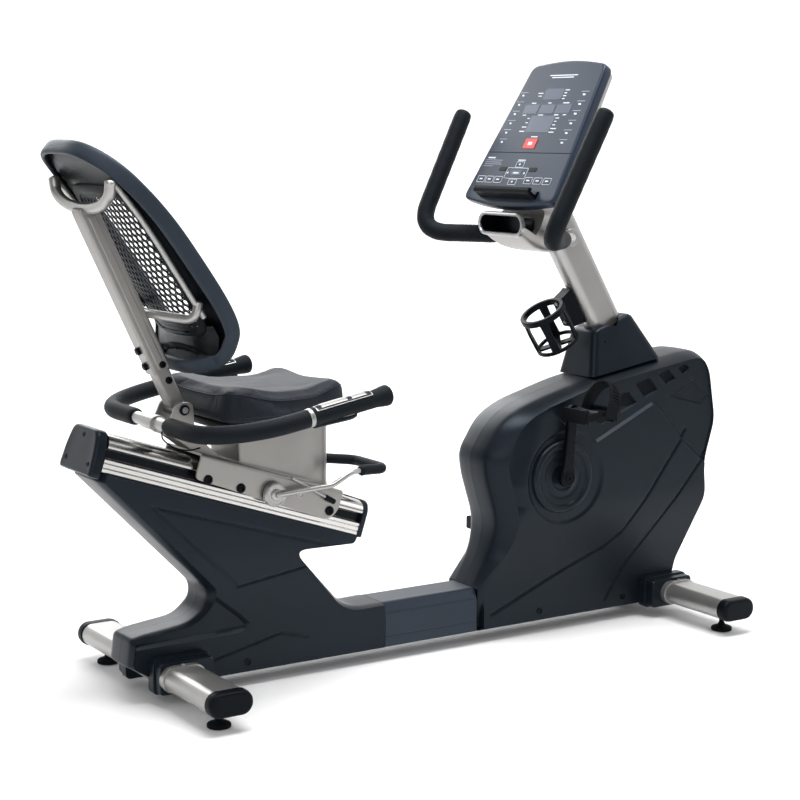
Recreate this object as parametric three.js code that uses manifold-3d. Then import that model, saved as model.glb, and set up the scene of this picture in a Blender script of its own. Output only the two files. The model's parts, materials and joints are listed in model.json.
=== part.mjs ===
// Recumbent exercise bike, built as separate pieces around real joints.
//
// Units are millimetres. +X points forward (towards the console), -Y is the rider's right
// side and +Z is up. The pieces are laid out from a point on the floor close to the crank axis,
// and the whole bike is then shifted so that its origin is the bottom centre.

import * as THREE from 'three';
import { mergeVertices } from 'three/addons/utils/BufferGeometryUtils.js';
import Module from 'manifold-3d';

const wasm = await Module();
wasm.setup();

// ---------------------------------------------------------------- driving dimensions

const GAP = 0.3;               // clearance between pieces that touch
const WALL = 3;                // thickness of the plastic covers

const REAR_END = -1262.1;
const FRONT_END = 526.2;
const CENTRE_X = (REAR_END + FRONT_END) / 2;

const CRANK_X = 18;
const CRANK_Z = 400;
const CRANK_LENGTH = 165;
const CRANK_ANGLE = THREE.MathUtils.degToRad(5);   // right arm leans forward of straight up
const ARM_INNER = 108;
const ARM_OUTER = 122;
const PEDAL_INNER = 134;
const PEDAL_OUTER = 226;

const BAR_WIDTH = 100;         // stabiliser tube, oval section
const BAR_HEIGHT = 52;
const BAR_Z = 64;
const BAR_HALF = 316;
const BAR_CAP = 28;
const REAR_BAR_X = -1034;
const FRONT_BAR_X = 388;
const FOOT_Y = 281;
const FOOT_RADIUS = 26;

const BEAM_HALF = 61;          // covers at the height of the floor beam
const BODY_BOTTOM = 34;
const FRONT_HALF = 98;         // front housing above the crank
const REAR_HALF = 78;          // rear body under the rail
const BEAM_COVER_REAR = -477;
const BEAM_COVER_FRONT = -212;

const RAIL_START = [-1197, 529];                   // underside of the rail at its rear end
const RAIL_SLOPE = THREE.MathUtils.degToRad(18.5);
const RAIL_LENGTH = 668;
const RAIL_HALF = 72;
const RAIL_HEIGHT = 80;
const GROOVE_DEPTH = 12;
const AXLE_HEIGHT = 40;        // roller axles above the underside of the rail
const ROLLER_RADIUS = 11;

const CARRIAGE_REAR = 212;     // along the rail
const CARRIAGE_FRONT = 590;
const CARRIAGE_HALF = 88;
const CARRIAGE_TOP = 92;
const LEVER_PIVOT = [410, 46]; // along and above the rail
const LEVER_Y = 108;

const RECLINE_AXIS = [-985, 640];
const BACK_TILT = THREE.MathUtils.degToRad(25.3);
const BACK_HALF = 184;

const MAST_BASE = [335, 560];
const MAST_TILT = THREE.MathUtils.degToRad(30.8);
const MAST_LENGTH = 585;
const MAST_DEPTH = 100;
const MAST_WIDTH = 54;

const CONSOLE_FOOT = [-92, 1078];                  // middle of the panel's lower edge
const CONSOLE_TILT = THREE.MathUtils.degToRad(29.7);

const HANDLEBAR_RADIUS = 14;
const GRIP_RADIUS = 22;

const FLYWHEEL = [190, 255];
const FLYWHEEL_RADIUS = 84;
const PULLEY_RADIUS = 95;
const SMALL_PULLEY_RADIUS = 26;
const BELT_Y = 46;             // middle of the belt, on the left side

// ---------------------------------------------------------------- materials

function material(color, roughness, metalness = 0) {
  return new THREE.MeshStandardMaterial({ color, roughness, metalness });
}

const NAVY = material(0x262e36, 0.45);
const BEAM_GREY = material(0x3a4149, 0.4, 0.3);
const BLACK = material(0x111315, 0.6);
const FOAM = material(0x1c1f23, 0.85);
const VINYL = material(0x2a2d33, 0.55);
const SLATE = material(0x4b5263, 0.4);
const SILVER_PAINT = material(0xb3aea6, 0.35, 0.6);
const CHROME = material(0xd8dade, 0.12, 1);
const STEEL = material(0x8a8c8f, 0.4, 0.9);
const RUBBER = material(0x0c0c0d, 0.9);

// ---------------------------------------------------------------- shapes and solids

// A closed outline; a third number on a point is the radius that rounds its corner.
function outline(points) {
  const shape = new THREE.Shape();
  const count = points.length;
  points.forEach(([a, b, radius = 0], index) => {
    const here = new THREE.Vector2(a, b);
    const before = new THREE.Vector2(...points[(index + count - 1) % count].slice(0, 2)).sub(here);
    const after = new THREE.Vector2(...points[(index + 1) % count].slice(0, 2)).sub(here);
    const reach = Math.min(radius, before.length() * 0.48, after.length() * 0.48);
    const start = here.clone().addScaledVector(before.normalize(), reach);
    const end = here.clone().addScaledVector(after.normalize(), reach);
    if (index === 0) {
      shape.moveTo(start.x, start.y);
    } else {
      shape.lineTo(start.x, start.y);
    }
    if (reach > 0) {
      shape.quadraticCurveTo(here.x, here.y, end.x, end.y);
    }
  });
  return shape;
}

// The same outline moved inwards by a distance; points run anticlockwise.
function inset(points, distance) {
  const count = points.length;
  return points.map(([a, b, radius = 0], index) => {
    const here = new THREE.Vector2(a, b);
    const before = here.clone().sub(new THREE.Vector2(...points[(index + count - 1) % count].slice(0, 2)));
    const after = new THREE.Vector2(...points[(index + 1) % count].slice(0, 2)).sub(here);
    const first = new THREE.Vector2(-before.y, before.x).normalize();
    const second = new THREE.Vector2(-after.y, after.x).normalize();
    const middle = first.clone().add(second);
    const moved = here.addScaledVector(middle, distance * 2 / middle.lengthSq());
    return [moved.x, moved.y, radius];
  });
}

function ring(radius, sides, hole = 0) {
  const polygon = (size) => Array.from({ length: sides }, (_, index) => {
    const angle = (index * 2 * Math.PI) / sides;
    return new THREE.Vector2(size * Math.cos(angle), size * Math.sin(angle));
  });
  const shape = new THREE.Shape(polygon(radius));
  if (hole > 0) {
    shape.holes.push(new THREE.Path(polygon(hole)));
  }
  return shape;
}

function stadium(length, height, hole = 0) {
  const oval = (target, margin) => {
    const radius = height / 2 - margin;
    const straight = (length - height) / 2;
    target.absarc(straight, 0, radius, -Math.PI / 2, Math.PI / 2, false);
    target.absarc(-straight, 0, radius, Math.PI / 2, Math.PI * 1.5, false);
    return target;
  };
  const shape = oval(new THREE.Shape(), 0);
  if (hole > 0) {
    shape.holes.push(oval(new THREE.Path(), hole));
  }
  return shape;
}

function extrude(shape, depth, { bevel = 0, curve = 4, bevelSteps = 2 } = {}) {
  const geometry = new THREE.ExtrudeGeometry(shape, {
    depth: depth - 2 * bevel,
    bevelEnabled: bevel > 0,
    bevelThickness: bevel,
    bevelSize: bevel,
    bevelOffset: -bevel,
    bevelSegments: bevelSteps,
    curveSegments: curve,
  });
  return geometry.translate(0, 0, bevel);
}

// Outline in (x, z), thickness between two values of y.
function sidePlate(shape, yLow, yHigh, options) {
  return extrude(shape, yHigh - yLow, options).rotateX(Math.PI / 2).translate(0, yHigh, 0);
}

// Outline in (y, z), thickness between two values of x.
function crossPlate(shape, xLow, xHigh, options) {
  const turn = new THREE.Matrix4().makeBasis(
    new THREE.Vector3(0, 1, 0), new THREE.Vector3(0, 0, 1), new THREE.Vector3(1, 0, 0));
  return extrude(shape, xHigh - xLow, options).applyMatrix4(turn).translate(xLow, 0, 0);
}

// Outline in (x, y), thickness between two values of z.
function flatPlate(shape, zLow, zHigh, options) {
  return extrude(shape, zHigh - zLow, options).translate(0, 0, zLow);
}

function box(xLow, xHigh, yLow, yHigh, zLow, zHigh) {
  return new THREE.BoxGeometry(xHigh - xLow, yHigh - yLow, zHigh - zLow)
    .translate((xLow + xHigh) / 2, (yLow + yHigh) / 2, (zLow + zHigh) / 2);
}

// A cylinder, or a ring, along y through (x, z).
function disc(x, z, radius, yLow, yHigh, sides = 20, hole = 0) {
  return sidePlate(ring(radius, sides, hole), yLow, yHigh).translate(x, 0, z);
}

function tube(curve, radius, steps, { sides = 8, hole = 0 } = {}) {
  return new THREE.ExtrudeGeometry(ring(radius, sides, hole), {
    steps,
    bevelEnabled: false,
    extrudePath: curve,
  });
}

// A path of straight runs whose corners are rounded; each point is [x, y, z, radius].
function roundedPath(points) {
  const path = new THREE.CurvePath();
  const at = (point) => new THREE.Vector3(point[0], point[1], point[2]);
  let from = at(points[0]);
  for (let index = 1; index < points.length - 1; index += 1) {
    const corner = at(points[index]);
    const radius = points[index][3];
    const back = from.clone().sub(corner).normalize();
    const ahead = at(points[index + 1]).sub(corner).normalize();
    const start = corner.clone().addScaledVector(back, radius);
    const end = corner.clone().addScaledVector(ahead, radius);
    path.add(new THREE.LineCurve3(from, start));
    path.add(new THREE.QuadraticBezierCurve3(start, corner, end));
    from = end;
  }
  path.add(new THREE.LineCurve3(from, at(points[points.length - 1])));
  return path;
}

// The stretch of a path between two fractions of its length.
function stretch(path, low, high, count = 14) {
  const points = Array.from({ length: count + 1 }, (_, index) =>
    path.getPointAt(low + ((high - low) * index) / count));
  return new THREE.CatmullRomCurve3(points, false, 'centripetal');
}

function mirrored(geometry) {
  const copy = geometry.clone().scale(1, -1, 1);
  const index = copy.index ? Array.from(copy.index.array)
    : Array.from({ length: copy.attributes.position.count }, (_, place) => place);
  for (let place = 0; place < index.length; place += 3) {
    [index[place + 1], index[place + 2]] = [index[place + 2], index[place + 1]];
  }
  copy.setIndex(index);
  copy.computeVertexNormals();
  return copy;
}

function solid(geometry) {
  const bare = geometry.clone();
  bare.deleteAttribute('normal');
  bare.deleteAttribute('uv');
  const merged = mergeVertices(bare, 1e-3);
  const triVerts = new Uint32Array(merged.index.array);
  const vertProperties = new Float32Array(merged.attributes.position.array);
  return new wasm.Manifold(new wasm.Mesh({ numProp: 3, vertProperties, triVerts }));
}

function surface(body) {
  const mesh = body.getMesh();
  const geometry = new THREE.BufferGeometry();
  geometry.setAttribute('position', new THREE.BufferAttribute(mesh.vertProperties, 3));
  geometry.setIndex(new THREE.BufferAttribute(mesh.triVerts, 1));
  geometry.computeVertexNormals();
  return geometry;
}

function join(...pieces) {
  return surface(pieces.map(solid).reduce((whole, piece) => whole.add(piece)));
}

function cut(piece, ...tools) {
  return surface(tools.map(solid).reduce((left, tool) => left.subtract(tool), solid(piece)));
}

const bike = new THREE.Group();
bike.position.x = -CENTRE_X;

function add(name, geometry, look, parent = bike) {
  const mesh = new THREE.Mesh(geometry, look);
  mesh.name = name;
  parent.add(mesh);
}

// Adds a right-side piece and its mirror image on the left.
function addPair(name, geometry, look, parent = bike) {
  add(`${name}_right`, geometry, look, parent);
  add(`${name}_left`, mirrored(geometry), look, parent);
}

// ---------------------------------------------------------------- slanted frames

// Along the rail: x runs forward and down, z is square to it.
const alongRail = new THREE.Group();
alongRail.position.set(RAIL_START[0], 0, RAIL_START[1]);
alongRail.rotation.y = RAIL_SLOPE;

// Up the console mast: z runs up the tube, x is square to it and forward.
const alongMast = new THREE.Group();
alongMast.position.set(MAST_BASE[0], 0, MAST_BASE[1]);
alongMast.rotation.y = -MAST_TILT;

// On the console: z runs up the panel, -x is towards the rider.
const onConsole = new THREE.Group();
onConsole.position.set(CONSOLE_FOOT[0], 0, CONSOLE_FOOT[1]);
onConsole.rotation.y = CONSOLE_TILT;

// Up the backrest post: z runs up the post from the recline axis.
const alongPost = new THREE.Group();
alongPost.position.set(RECLINE_AXIS[0], 0, RECLINE_AXIS[1]);
alongPost.rotation.y = -BACK_TILT;

bike.add(alongRail, alongMast, onConsole, alongPost);

function placed(geometry, frame) {
  frame.updateMatrix();
  return geometry.clone().applyMatrix4(frame.matrix);
}

// A point [x, z] of the bike from one along and above the rail.
function fromRail(along, above) {
  return [
    RAIL_START[0] + along * Math.cos(RAIL_SLOPE) + above * Math.sin(RAIL_SLOPE),
    RAIL_START[1] - along * Math.sin(RAIL_SLOPE) + above * Math.cos(RAIL_SLOPE),
  ];
}

// ---------------------------------------------------------------- floor frame

const COLUMN_FRONT = 346;

function frameBody() {
  const beam = box(-978, COLUMN_FRONT - 22, -25, 25, 50, 110);
  const saddle = (x, inner) => box(Math.min(x - 48, inner), Math.max(x + 48, inner), -108, 108,
    BAR_Z + BAR_HEIGHT / 2 + GAP, BAR_Z + BAR_HEIGHT / 2 + 7);
  const rearSpine = sidePlate(outline([
    [-925, 100], [-860, 100], [-840, 300], fromRail(470, -6), fromRail(470, -GAP),
    fromRail(70, -GAP), fromRail(70, -30), [-925, 245],
  ]), -20, 20);
  const column = sidePlate(outline([
    [COLUMN_FRONT - 46, 103], [COLUMN_FRONT, 103], [COLUMN_FRONT, 560], [COLUMN_FRONT - 46, 532],
  ]), -20, 20);
  const flange = placed(box(-46, 46, -28, 28, -8, -GAP), alongMast);
  const crankPost = box(CRANK_X - 24, CRANK_X + 24, -20, 20, 100, CRANK_Z);
  const crankShell = disc(CRANK_X, CRANK_Z, 27, -34, 34, 16);
  const crankBore = disc(CRANK_X, CRANK_Z, 13, -60, 60, 16);
  const fork = (yLow, yHigh) => box(FLYWHEEL[0] - 20, FLYWHEEL[0] + 20, yLow, yHigh, 100, FLYWHEEL[1] + 22);
  const forkFoot = box(FLYWHEEL[0] - 20, FLYWHEEL[0] + 20, -44, 30, 102, 108);
  const forkBore = disc(FLYWHEEL[0], FLYWHEEL[1], 9.4, -60, 60, 20);
  return cut(
    join(beam, saddle(REAR_BAR_X, -960), saddle(FRONT_BAR_X, 310), rearSpine, column, flange, crankPost,
      crankShell, fork(-44, -38), fork(24, 30), forkFoot),
    crankBore, forkBore);
}

add('main_frame', frameBody(), STEEL);

// A cap is a plug that covers the tube's end.
function stabiliser(name, x) {
  const section = stadium(BAR_WIDTH, BAR_HEIGHT, 2.5);
  add(`${name}_stabiliser`, sidePlate(section, -BAR_HALF, BAR_HALF).translate(x, 0, BAR_Z), SILVER_PAINT);
  const cap = sidePlate(stadium(BAR_WIDTH + 3, BAR_HEIGHT + 2), -BAR_HALF - BAR_CAP, -BAR_HALF - GAP,
    { bevel: 4, bevelSteps: 1 }).translate(x, 0, BAR_Z);
  addPair(`${name}_stabiliser_cap`, cap, BLACK);
  const foot = new THREE.LatheGeometry([
    [0, 0], [FOOT_RADIUS, 0], [FOOT_RADIUS, 9], [9, 16], [7, 24],
    [7, BAR_Z - BAR_HEIGHT / 2 - GAP], [0, BAR_Z - BAR_HEIGHT / 2 - GAP],
  ].map(([radius, z]) => new THREE.Vector2(radius, z)), 16).rotateX(Math.PI / 2);
  addPair(`${name}_levelling_foot`, foot.translate(x, -FOOT_Y, 0), RUBBER);
}

stabiliser('rear', REAR_BAR_X);
stabiliser('front', FRONT_BAR_X);

// ---------------------------------------------------------------- covers

// The front housing at its centre seam, and the same corners on its side face.
const FRONT_OUTLINE = [
  [-211, BODY_BOTTOM, 4], [331, BODY_BOTTOM, 3], [331, 98], [412, 98, 3], [426, 135, 10], [498, 302, 16],
  [492, 396, 24], [528, 506, 18], [508, 642, 24], [480, 684, 24], [430, 684, 20], [105, 630],
  [-66, 584, 30], [-140, 546, 30], [-196, 464, 24], [-190, 412, 12], [-152, 290, 20], [-168, 222, 40],
  [-211, 140],
];
const FRONT_FACE = [
  [-211, BODY_BOTTOM, 4], [331, BODY_BOTTOM, 3], [331, 98], [412, 98, 3], [422, 135, 10], [490, 302, 16],
  [482, 392, 24], [516, 503, 18], [494, 632, 24], [470, 667, 24], [426, 663, 20], [106, 610],
  [-58, 557, 30], [-112, 528, 30], [-146, 456, 24], [-138, 412, 12], [-108, 320, 20], [-122, 230, 40],
  [-211, 140],
];

const REAR_OUTLINE = [
  [-478, 140], [-575, 140, 30], [-722, 296, 30], [-573, 296, 6], fromRail(RAIL_LENGTH - 1, -0.6),
  fromRail(-4, -0.6), [...fromRail(-4, -20), 4], [-940, 234, 30], [-944, 194, 14], [-984, 166, 14],
  [-1096, 154, 10], [-1126, 146, 10], [-1134, 84, 6], [-1090, 60, 4], [-978, 60], [-978, BODY_BOTTOM],
  [-478, BODY_BOTTOM],
];
const REAR_FACE = [
  [-478, 136], [-586, 130, 30], [-732, 302, 30], [-573, 302, 6], fromRail(RAIL_LENGTH - 1, -0.6),
  fromRail(14, -0.6), [...fromRail(14, -20), 4], [-924, 236, 30], [-928, 200, 14], [-972, 160, 14],
  [-1090, 146, 10], [-1118, 138, 10], [-1126, 84, 6], [-1090, 60, 4], [-978, 60], [-978, BODY_BOTTOM],
  [-478, BODY_BOTTOM],
];

// A solid through outlines (x, z) with the same corners at rising y.
function layered(layers) {
  const rings = layers.map(([y, points]) => outline(points).getPoints(3).map(
    (point) => [point.x, y, point.y]));
  const count = rings[0].length;
  const index = [];
  for (let layer = 0; layer + 1 < rings.length; layer += 1) {
    for (let place = 0; place < count; place += 1) {
      const here = layer * count + place;
      const next = layer * count + ((place + 1) % count);
      index.push(here, here + count, next + count, here, next + count, next);
    }
  }
  const flat = (ringPoints) => THREE.ShapeUtils.triangulateShape(
    ringPoints.map(([x, , z]) => new THREE.Vector2(x, z)), []);
  const last = (rings.length - 1) * count;
  flat(rings[0]).forEach(([i, j, k]) => index.push(i, j, k));
  flat(rings[rings.length - 1]).forEach(([i, j, k]) => index.push(last + i, last + k, last + j));
  const geometry = new THREE.BufferGeometry();
  geometry.setAttribute('position', new THREE.Float32BufferAttribute(rings.flat(2), 3));
  geometry.setIndex(index);
  return geometry;
}

// Part of the way from the seam outline to the face outline.
function between(seam, face, part) {
  return seam.map(([a, b, radius], index) => [
    a + (face[index][0] - a) * part, b + (face[index][1] - b) * part, radius,
  ]);
}

// The right half of a hollow casing whose side leans in below a given height.
function casing(seam, face, half, narrow, lowZ, highZ) {
  const lean = (inwards) => crossPlate(outline([
    [-half - 60, -20], [-narrow + inwards, -20], [-narrow + inwards, lowZ],
    [-half + inwards - 0.5, highZ], [-half - 60, highZ],
  ]), -1400, 700);
  const crown = (wall, inner) => layered([
    [-half + wall, inset(face, wall)], [-half * 0.72 + wall, inset(between(seam, face, 0.35), wall)],
    [-half * 0.4, inset(between(seam, face, 0.06), wall)], [inner, inset(seam, wall)],
  ]);
  const outer = cut(crown(0, -GAP / 2), lean(0));
  const inner = cut(crown(WALL, 5), lean(WALL));
  return cut(outer, inner);
}

function frontCover() {
  const axleHole = disc(CRANK_X, CRANK_Z, 31, -120, 10, 20);
  const mastHole = placed(box(-56, 56, -34, 10, 20, 160), alongMast);
  const beamHole = box(-240, -190, -27, 10, 47, 113);
  const saddleHole = box(305, 460, -130, 10, 86, 101);
  const shell = casing(FRONT_OUTLINE, FRONT_FACE, FRONT_HALF, BEAM_HALF, 110, 340);
  return cut(shell, axleHole, mastHole, beamHole, saddleHole);
}

function rearCover() {
  const beamHole = box(-500, -460, -27, 10, 47, 113);
  const barHole = box(-1089, -955, -130, 10, 30, 101);
  const spineHole = placed(box(60, 480, -23, 10, -20, 10), alongRail);
  return cut(casing(REAR_OUTLINE, REAR_FACE, REAR_HALF, BEAM_HALF, 140, 330), beamHole, barHole, spineHole);
}

addPair('front_cover', frontCover(), NAVY);
addPair('rear_cover', rearCover(), NAVY);

const BEAM_SECTION = [
  [-BEAM_HALF, BODY_BOTTOM, 3], [BEAM_HALF, BODY_BOTTOM, 3], [BEAM_HALF, 118, 4], [46, 140, 4],
  [-46, 140, 4], [-BEAM_HALF, 118, 4],
];
const beamShape = outline(BEAM_SECTION);
beamShape.holes.push(outline(inset(BEAM_SECTION, WALL)));
add('beam_cover', crossPlate(beamShape, BEAM_COVER_REAR, BEAM_COVER_FRONT), BEAM_GREY);

// The tapered block around the foot of the mast, standing on the front housing.
function mastCover() {
  const side = [
    [128, 620], [352, 660], [352, 674, 10], [284, 786, 24], [262, 790, 8], [150, 748, 14],
  ];
  const block = sidePlate(outline(side), -72, 72, { curve: 3 });
  const taper = crossPlate(outline([[-90, 600], [-72, 640], [-47, 800], [-90, 800]]), 60, 460);
  const hollow = sidePlate(outline([[136, 600], [340, 600], [338, 668], [274, 776], [160, 738]]), -40, 40);
  const top = sidePlate(outline([
    [60, 560], [105, 630.5 + GAP], [430, 684.5 + GAP], [470, 560],
  ]), -110, 110);
  const mastHole = placed(box(-MAST_DEPTH / 2 - 2, MAST_DEPTH / 2 + 2, -30, 30, 60, 320), alongMast);
  return cut(block, taper, mirrored(taper), hollow, top, mastHole);
}

add('mast_cover', mastCover(), NAVY);
addPair('crank_trim', disc(CRANK_X, CRANK_Z, 113, -FRONT_HALF - 6, -FRONT_HALF - GAP, 32, 39), NAVY);

// ---------------------------------------------------------------- crank, belt and flywheel

const PEDAL = [
  CRANK_X + Math.sin(CRANK_ANGLE) * CRANK_LENGTH,
  CRANK_Z + Math.cos(CRANK_ANGLE) * CRANK_LENGTH,
];

add('crank_axle', disc(CRANK_X, CRANK_Z, 10, -ARM_INNER + GAP, ARM_INNER - GAP, 20), STEEL);
add('drive_pulley', disc(CRANK_X, CRANK_Z, PULLEY_RADIUS, BELT_Y - 7, BELT_Y + 7, 36, 10.8), BLACK);

// The right arm points up; the left one is the same piece turned half way round.
function crankArm() {
  const web = sidePlate(outline([
    [CRANK_X - 20, CRANK_Z - 20, 14], [CRANK_X + 20, CRANK_Z - 20, 14], [PEDAL[0] + 14, PEDAL[1] + 14, 12],
    [PEDAL[0] - 14, PEDAL[1] + 14, 12],
  ]), -ARM_OUTER, -ARM_INNER, { curve: 3 });
  const hub = disc(CRANK_X, CRANK_Z, 25, -ARM_OUTER + 2, -ARM_INNER + 6, 20);
  const socket = disc(CRANK_X, CRANK_Z, 10.5, -ARM_INNER + GAP, -ARM_INNER + 20, 20);
  const spindle = disc(PEDAL[0], PEDAL[1], 6, -PEDAL_OUTER + 6, -ARM_OUTER + 2, 16);
  return join(web, cut(hub, socket), spindle);
}

// Turns a right-side piece half way round the crank axis, onto the other side of the bike.
function acrossCrank(geometry) {
  return mirrored(geometry).translate(-CRANK_X, 0, -CRANK_Z).rotateY(Math.PI).translate(CRANK_X, 0, CRANK_Z);
}

// Both pedals hang level, so the left one is only mirrored and moved to the lower spindle.
function ontoLowerSpindle(geometry) {
  return mirrored(geometry).translate(2 * (CRANK_X - PEDAL[0]), 0, 2 * (CRANK_Z - PEDAL[1]));
}

function pedal() {
  const y = [-PEDAL_OUTER, -PEDAL_INNER];
  const rail = (x) => box(x - 4, x + 4, ...y, -15, 15);
  const core = disc(0, 0, 14, ...y, 16);
  const ribs = [-1, 0, 1].map((place) => {
    const middle = (y[0] + y[1]) / 2 + place * (y[1] - y[0] - 8) / 2;
    return box(-46, 46, middle - 4, middle + 4, -11, 11);
  });
  const bore = disc(0, 0, 7.6, ...y.map((value, index) => value + (index ? 5 : -5)), 16);
  return cut(join(core, rail(-46), rail(46), ...ribs), bore).translate(PEDAL[0], 0, PEDAL[1]);
}

// A flat loop over the toes, from one side of the pedal to the other.
function pedalStrap() {
  const middle = -(PEDAL_INNER + PEDAL_OUTER) / 2;
  const arc = (target, width, height) => {
    target.moveTo(middle - width, 0);
    target.absellipse(middle, 30, width, height, Math.PI, 0, true);
    target.lineTo(middle + width, 0);
    return target;
  };
  const shape = arc(new THREE.Shape(), 50, 62);
  const inner = new THREE.Path();
  inner.moveTo(middle + 46, 0);
  inner.absellipse(middle, 30, 46, 58, 0, Math.PI, false);
  inner.lineTo(middle - 46, 0);
  inner.getPoints(8).forEach((point) => shape.lineTo(point.x, point.y));
  return crossPlate(shape, 6, 40, { curve: 8 }).rotateY(0.3).translate(PEDAL[0], 0, PEDAL[1]);
}

add('crank_arm_right', crankArm(), BLACK);
add('crank_arm_left', acrossCrank(crankArm()), BLACK);
add('pedal_right', pedal(), BLACK);
add('pedal_left', ontoLowerSpindle(pedal()), BLACK);
add('pedal_strap_right', pedalStrap(), RUBBER);
add('pedal_strap_left', ontoLowerSpindle(pedalStrap()), RUBBER);

function flywheel() {
  const wheel = disc(...FLYWHEEL, FLYWHEEL_RADIUS, -30, 16, 32);
  const axle = disc(...FLYWHEEL, 8, -50, BELT_Y + 12, 20);
  const pulley = disc(...FLYWHEEL, SMALL_PULLEY_RADIUS, BELT_Y - 7, BELT_Y + 7, 24);
  return join(wheel, axle, pulley);
}

add('flywheel', flywheel(), STEEL);

// The belt wraps both pulleys with straight runs between them.
function driveBelt() {
  const reach = Math.hypot(FLYWHEEL[0] - CRANK_X, FLYWHEEL[1] - CRANK_Z);
  const loop = (target, extra) => {
    const large = PULLEY_RADIUS + extra;
    const small = SMALL_PULLEY_RADIUS + extra;
    const lean = Math.acos((large - small) / reach);
    target.absarc(0, 0, large, lean, 2 * Math.PI - lean, false);
    target.absarc(reach, 0, small, -lean, lean, false);
    return target;
  };
  const shape = loop(new THREE.Shape(), 3.2);
  shape.holes.push(loop(new THREE.Path(), 1.2));
  const turn = Math.atan2(FLYWHEEL[1] - CRANK_Z, FLYWHEEL[0] - CRANK_X);
  return extrude(shape, 10, { curve: 12 }).rotateZ(turn).rotateX(Math.PI / 2)
    .translate(CRANK_X, BELT_Y + 5, CRANK_Z);
}

add('drive_belt', driveBelt(), RUBBER);

// ---------------------------------------------------------------- seat rail

const RAIL_SIDE = [
  [RAIL_HALF, 0], [RAIL_HALF, 28], [RAIL_HALF - GROOVE_DEPTH, 28], [RAIL_HALF - GROOVE_DEPTH, 52],
  [RAIL_HALF, 52], [RAIL_HALF, 60], [66, 71], [54, RAIL_HEIGHT],
];
const railSection = outline([...RAIL_SIDE, ...RAIL_SIDE.map(([y, z]) => [-y, z]).reverse()]);
add('seat_rail', crossPlate(railSection, 0, RAIL_LENGTH), CHROME, alongRail);

const capSection = outline([
  [-86, -18, 14], [86, -18, 14], [80, 40, 30], [62, RAIL_HEIGHT + 6, 16], [-62, RAIL_HEIGHT + 6, 16],
  [-80, 40, 30],
]);
const rearCap = crossPlate(capSection, -30, -6, { bevel: 4, bevelSteps: 1 });
const rearPlug = crossPlate(outline([[-60, 4], [60, 4], [46, 74], [-46, 74]]), -8, -GAP);
add('rail_cap_rear', join(rearCap, rearPlug), NAVY, alongRail);
const frontCapSection = outline([
  [-75, -4, 4], [75, -4, 4], [75, 62, 8], [56, RAIL_HEIGHT + 3, 8], [-56, RAIL_HEIGHT + 3, 8], [-75, 62, 8],
]);
add('rail_cap_front', crossPlate(frontCapSection, RAIL_LENGTH + GAP, RAIL_LENGTH + 14), NAVY, alongRail);

// ---------------------------------------------------------------- seat carriage

const ROLLER_PLACES = [['rear', 243], ['front', 567]];

function seatCarriage() {
  const top = box(CARRIAGE_REAR, CARRIAGE_FRONT, -CARRIAGE_HALF, CARRIAGE_HALF, CARRIAGE_TOP - 6, CARRIAGE_TOP);
  const cheek = sidePlate(outline([
    [CARRIAGE_REAR, 34, 10], [560, 18, 20], [CARRIAGE_FRONT, 50, 20], [CARRIAGE_FRONT, CARRIAGE_TOP],
    [CARRIAGE_REAR, CARRIAGE_TOP],
  ]), -CARRIAGE_HALF, -CARRIAGE_HALF + 6, { curve: 3 });
  const pins = ROLLER_PLACES.map(([, along]) =>
    disc(along, AXLE_HEIGHT, 5, -CARRIAGE_HALF - 4, -RAIL_HALF + GROOVE_DEPTH - 1.6 - 0.2, 12));
  const bolts = [...ROLLER_PLACES.map(([, along]) => along), 328].map((along) =>
    disc(along, AXLE_HEIGHT, 9, -CARRIAGE_HALF - 4, -CARRIAGE_HALF + 1, 12));
  const pivot = disc(...LEVER_PIVOT, 8, -CARRIAGE_HALF - 14, -CARRIAGE_HALF + 1, 16);
  const half = [cheek, ...pins, ...bolts, pivot];
  const trolley = placed(join(top, ...half, ...half.map(mirrored)), alongRail);
  const plan = [
    [-868, -70], [-690, -70, 30], [-625, -40, 30], [-602, 0, 20], [-625, 40, 30], [-690, 70, 30], [-868, 70],
  ];
  const walls = outline(plan);
  walls.holes.push(outline(inset(plan, WALL)));
  const post = cut(flatPlate(walls, 400, 600, { curve: 3 }),
    placed(box(100, 700, -90, 90, -60, CARRIAGE_TOP - 3), alongRail));
  const ear = sidePlate(outline([
    fromRail(216, CARRIAGE_TOP - 3), fromRail(290, CARRIAGE_TOP - 3), [-962, 585, 12], [-966, 654, 12],
    [-1002, 656, 12], [-1024, 606, 6], [-1020, 592, 6],
  ]), -40, -34, { curve: 3 });
  const pin = disc(...RECLINE_AXIS, 7, -46, 46, 16);
  const cradle = box(-1026, -1000, -40, 40, 586, 594);
  return join(trolley, post, ear, mirrored(ear), pin, cradle);
}

add('seat_carriage', seatCarriage(), SILVER_PAINT);

const rollerY = [-CARRIAGE_HALF + 18, -RAIL_HALF + GROOVE_DEPTH - 1.2];
for (const [name, along] of ROLLER_PLACES) {
  const roller = disc(along, AXLE_HEIGHT, ROLLER_RADIUS, ...rollerY, 20, 6.2);
  addPair(`${name}_roller`, roller, RUBBER, alongRail);
}

const leverPath = (() => {
  const [pivotX, pivotZ] = fromRail(...LEVER_PIVOT);
  const side = (sign) => [
    [pivotX, sign * LEVER_Y, pivotZ], [-650, sign * LEVER_Y, 449, 12], [-596, sign * 104, 474, 14],
    [-556, sign * 92, 473, 14],
  ];
  return roundedPath([
    ...side(-1), [-484, -66, 466, 24], [-484, 66, 466, 24], ...side(1).reverse(),
  ]);
})();

function lockLever() {
  const [x, z] = fromRail(...LEVER_PIVOT);
  const hub = cut(disc(x, z, 28, -LEVER_Y, -CARRIAGE_HALF - 5, 24), disc(x, z, 9.4, -104, -80, 16));
  const rods = tube(leverPath, 6, 34, { sides: 6 });
  return join(hub, mirrored(hub), rods);
}

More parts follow.
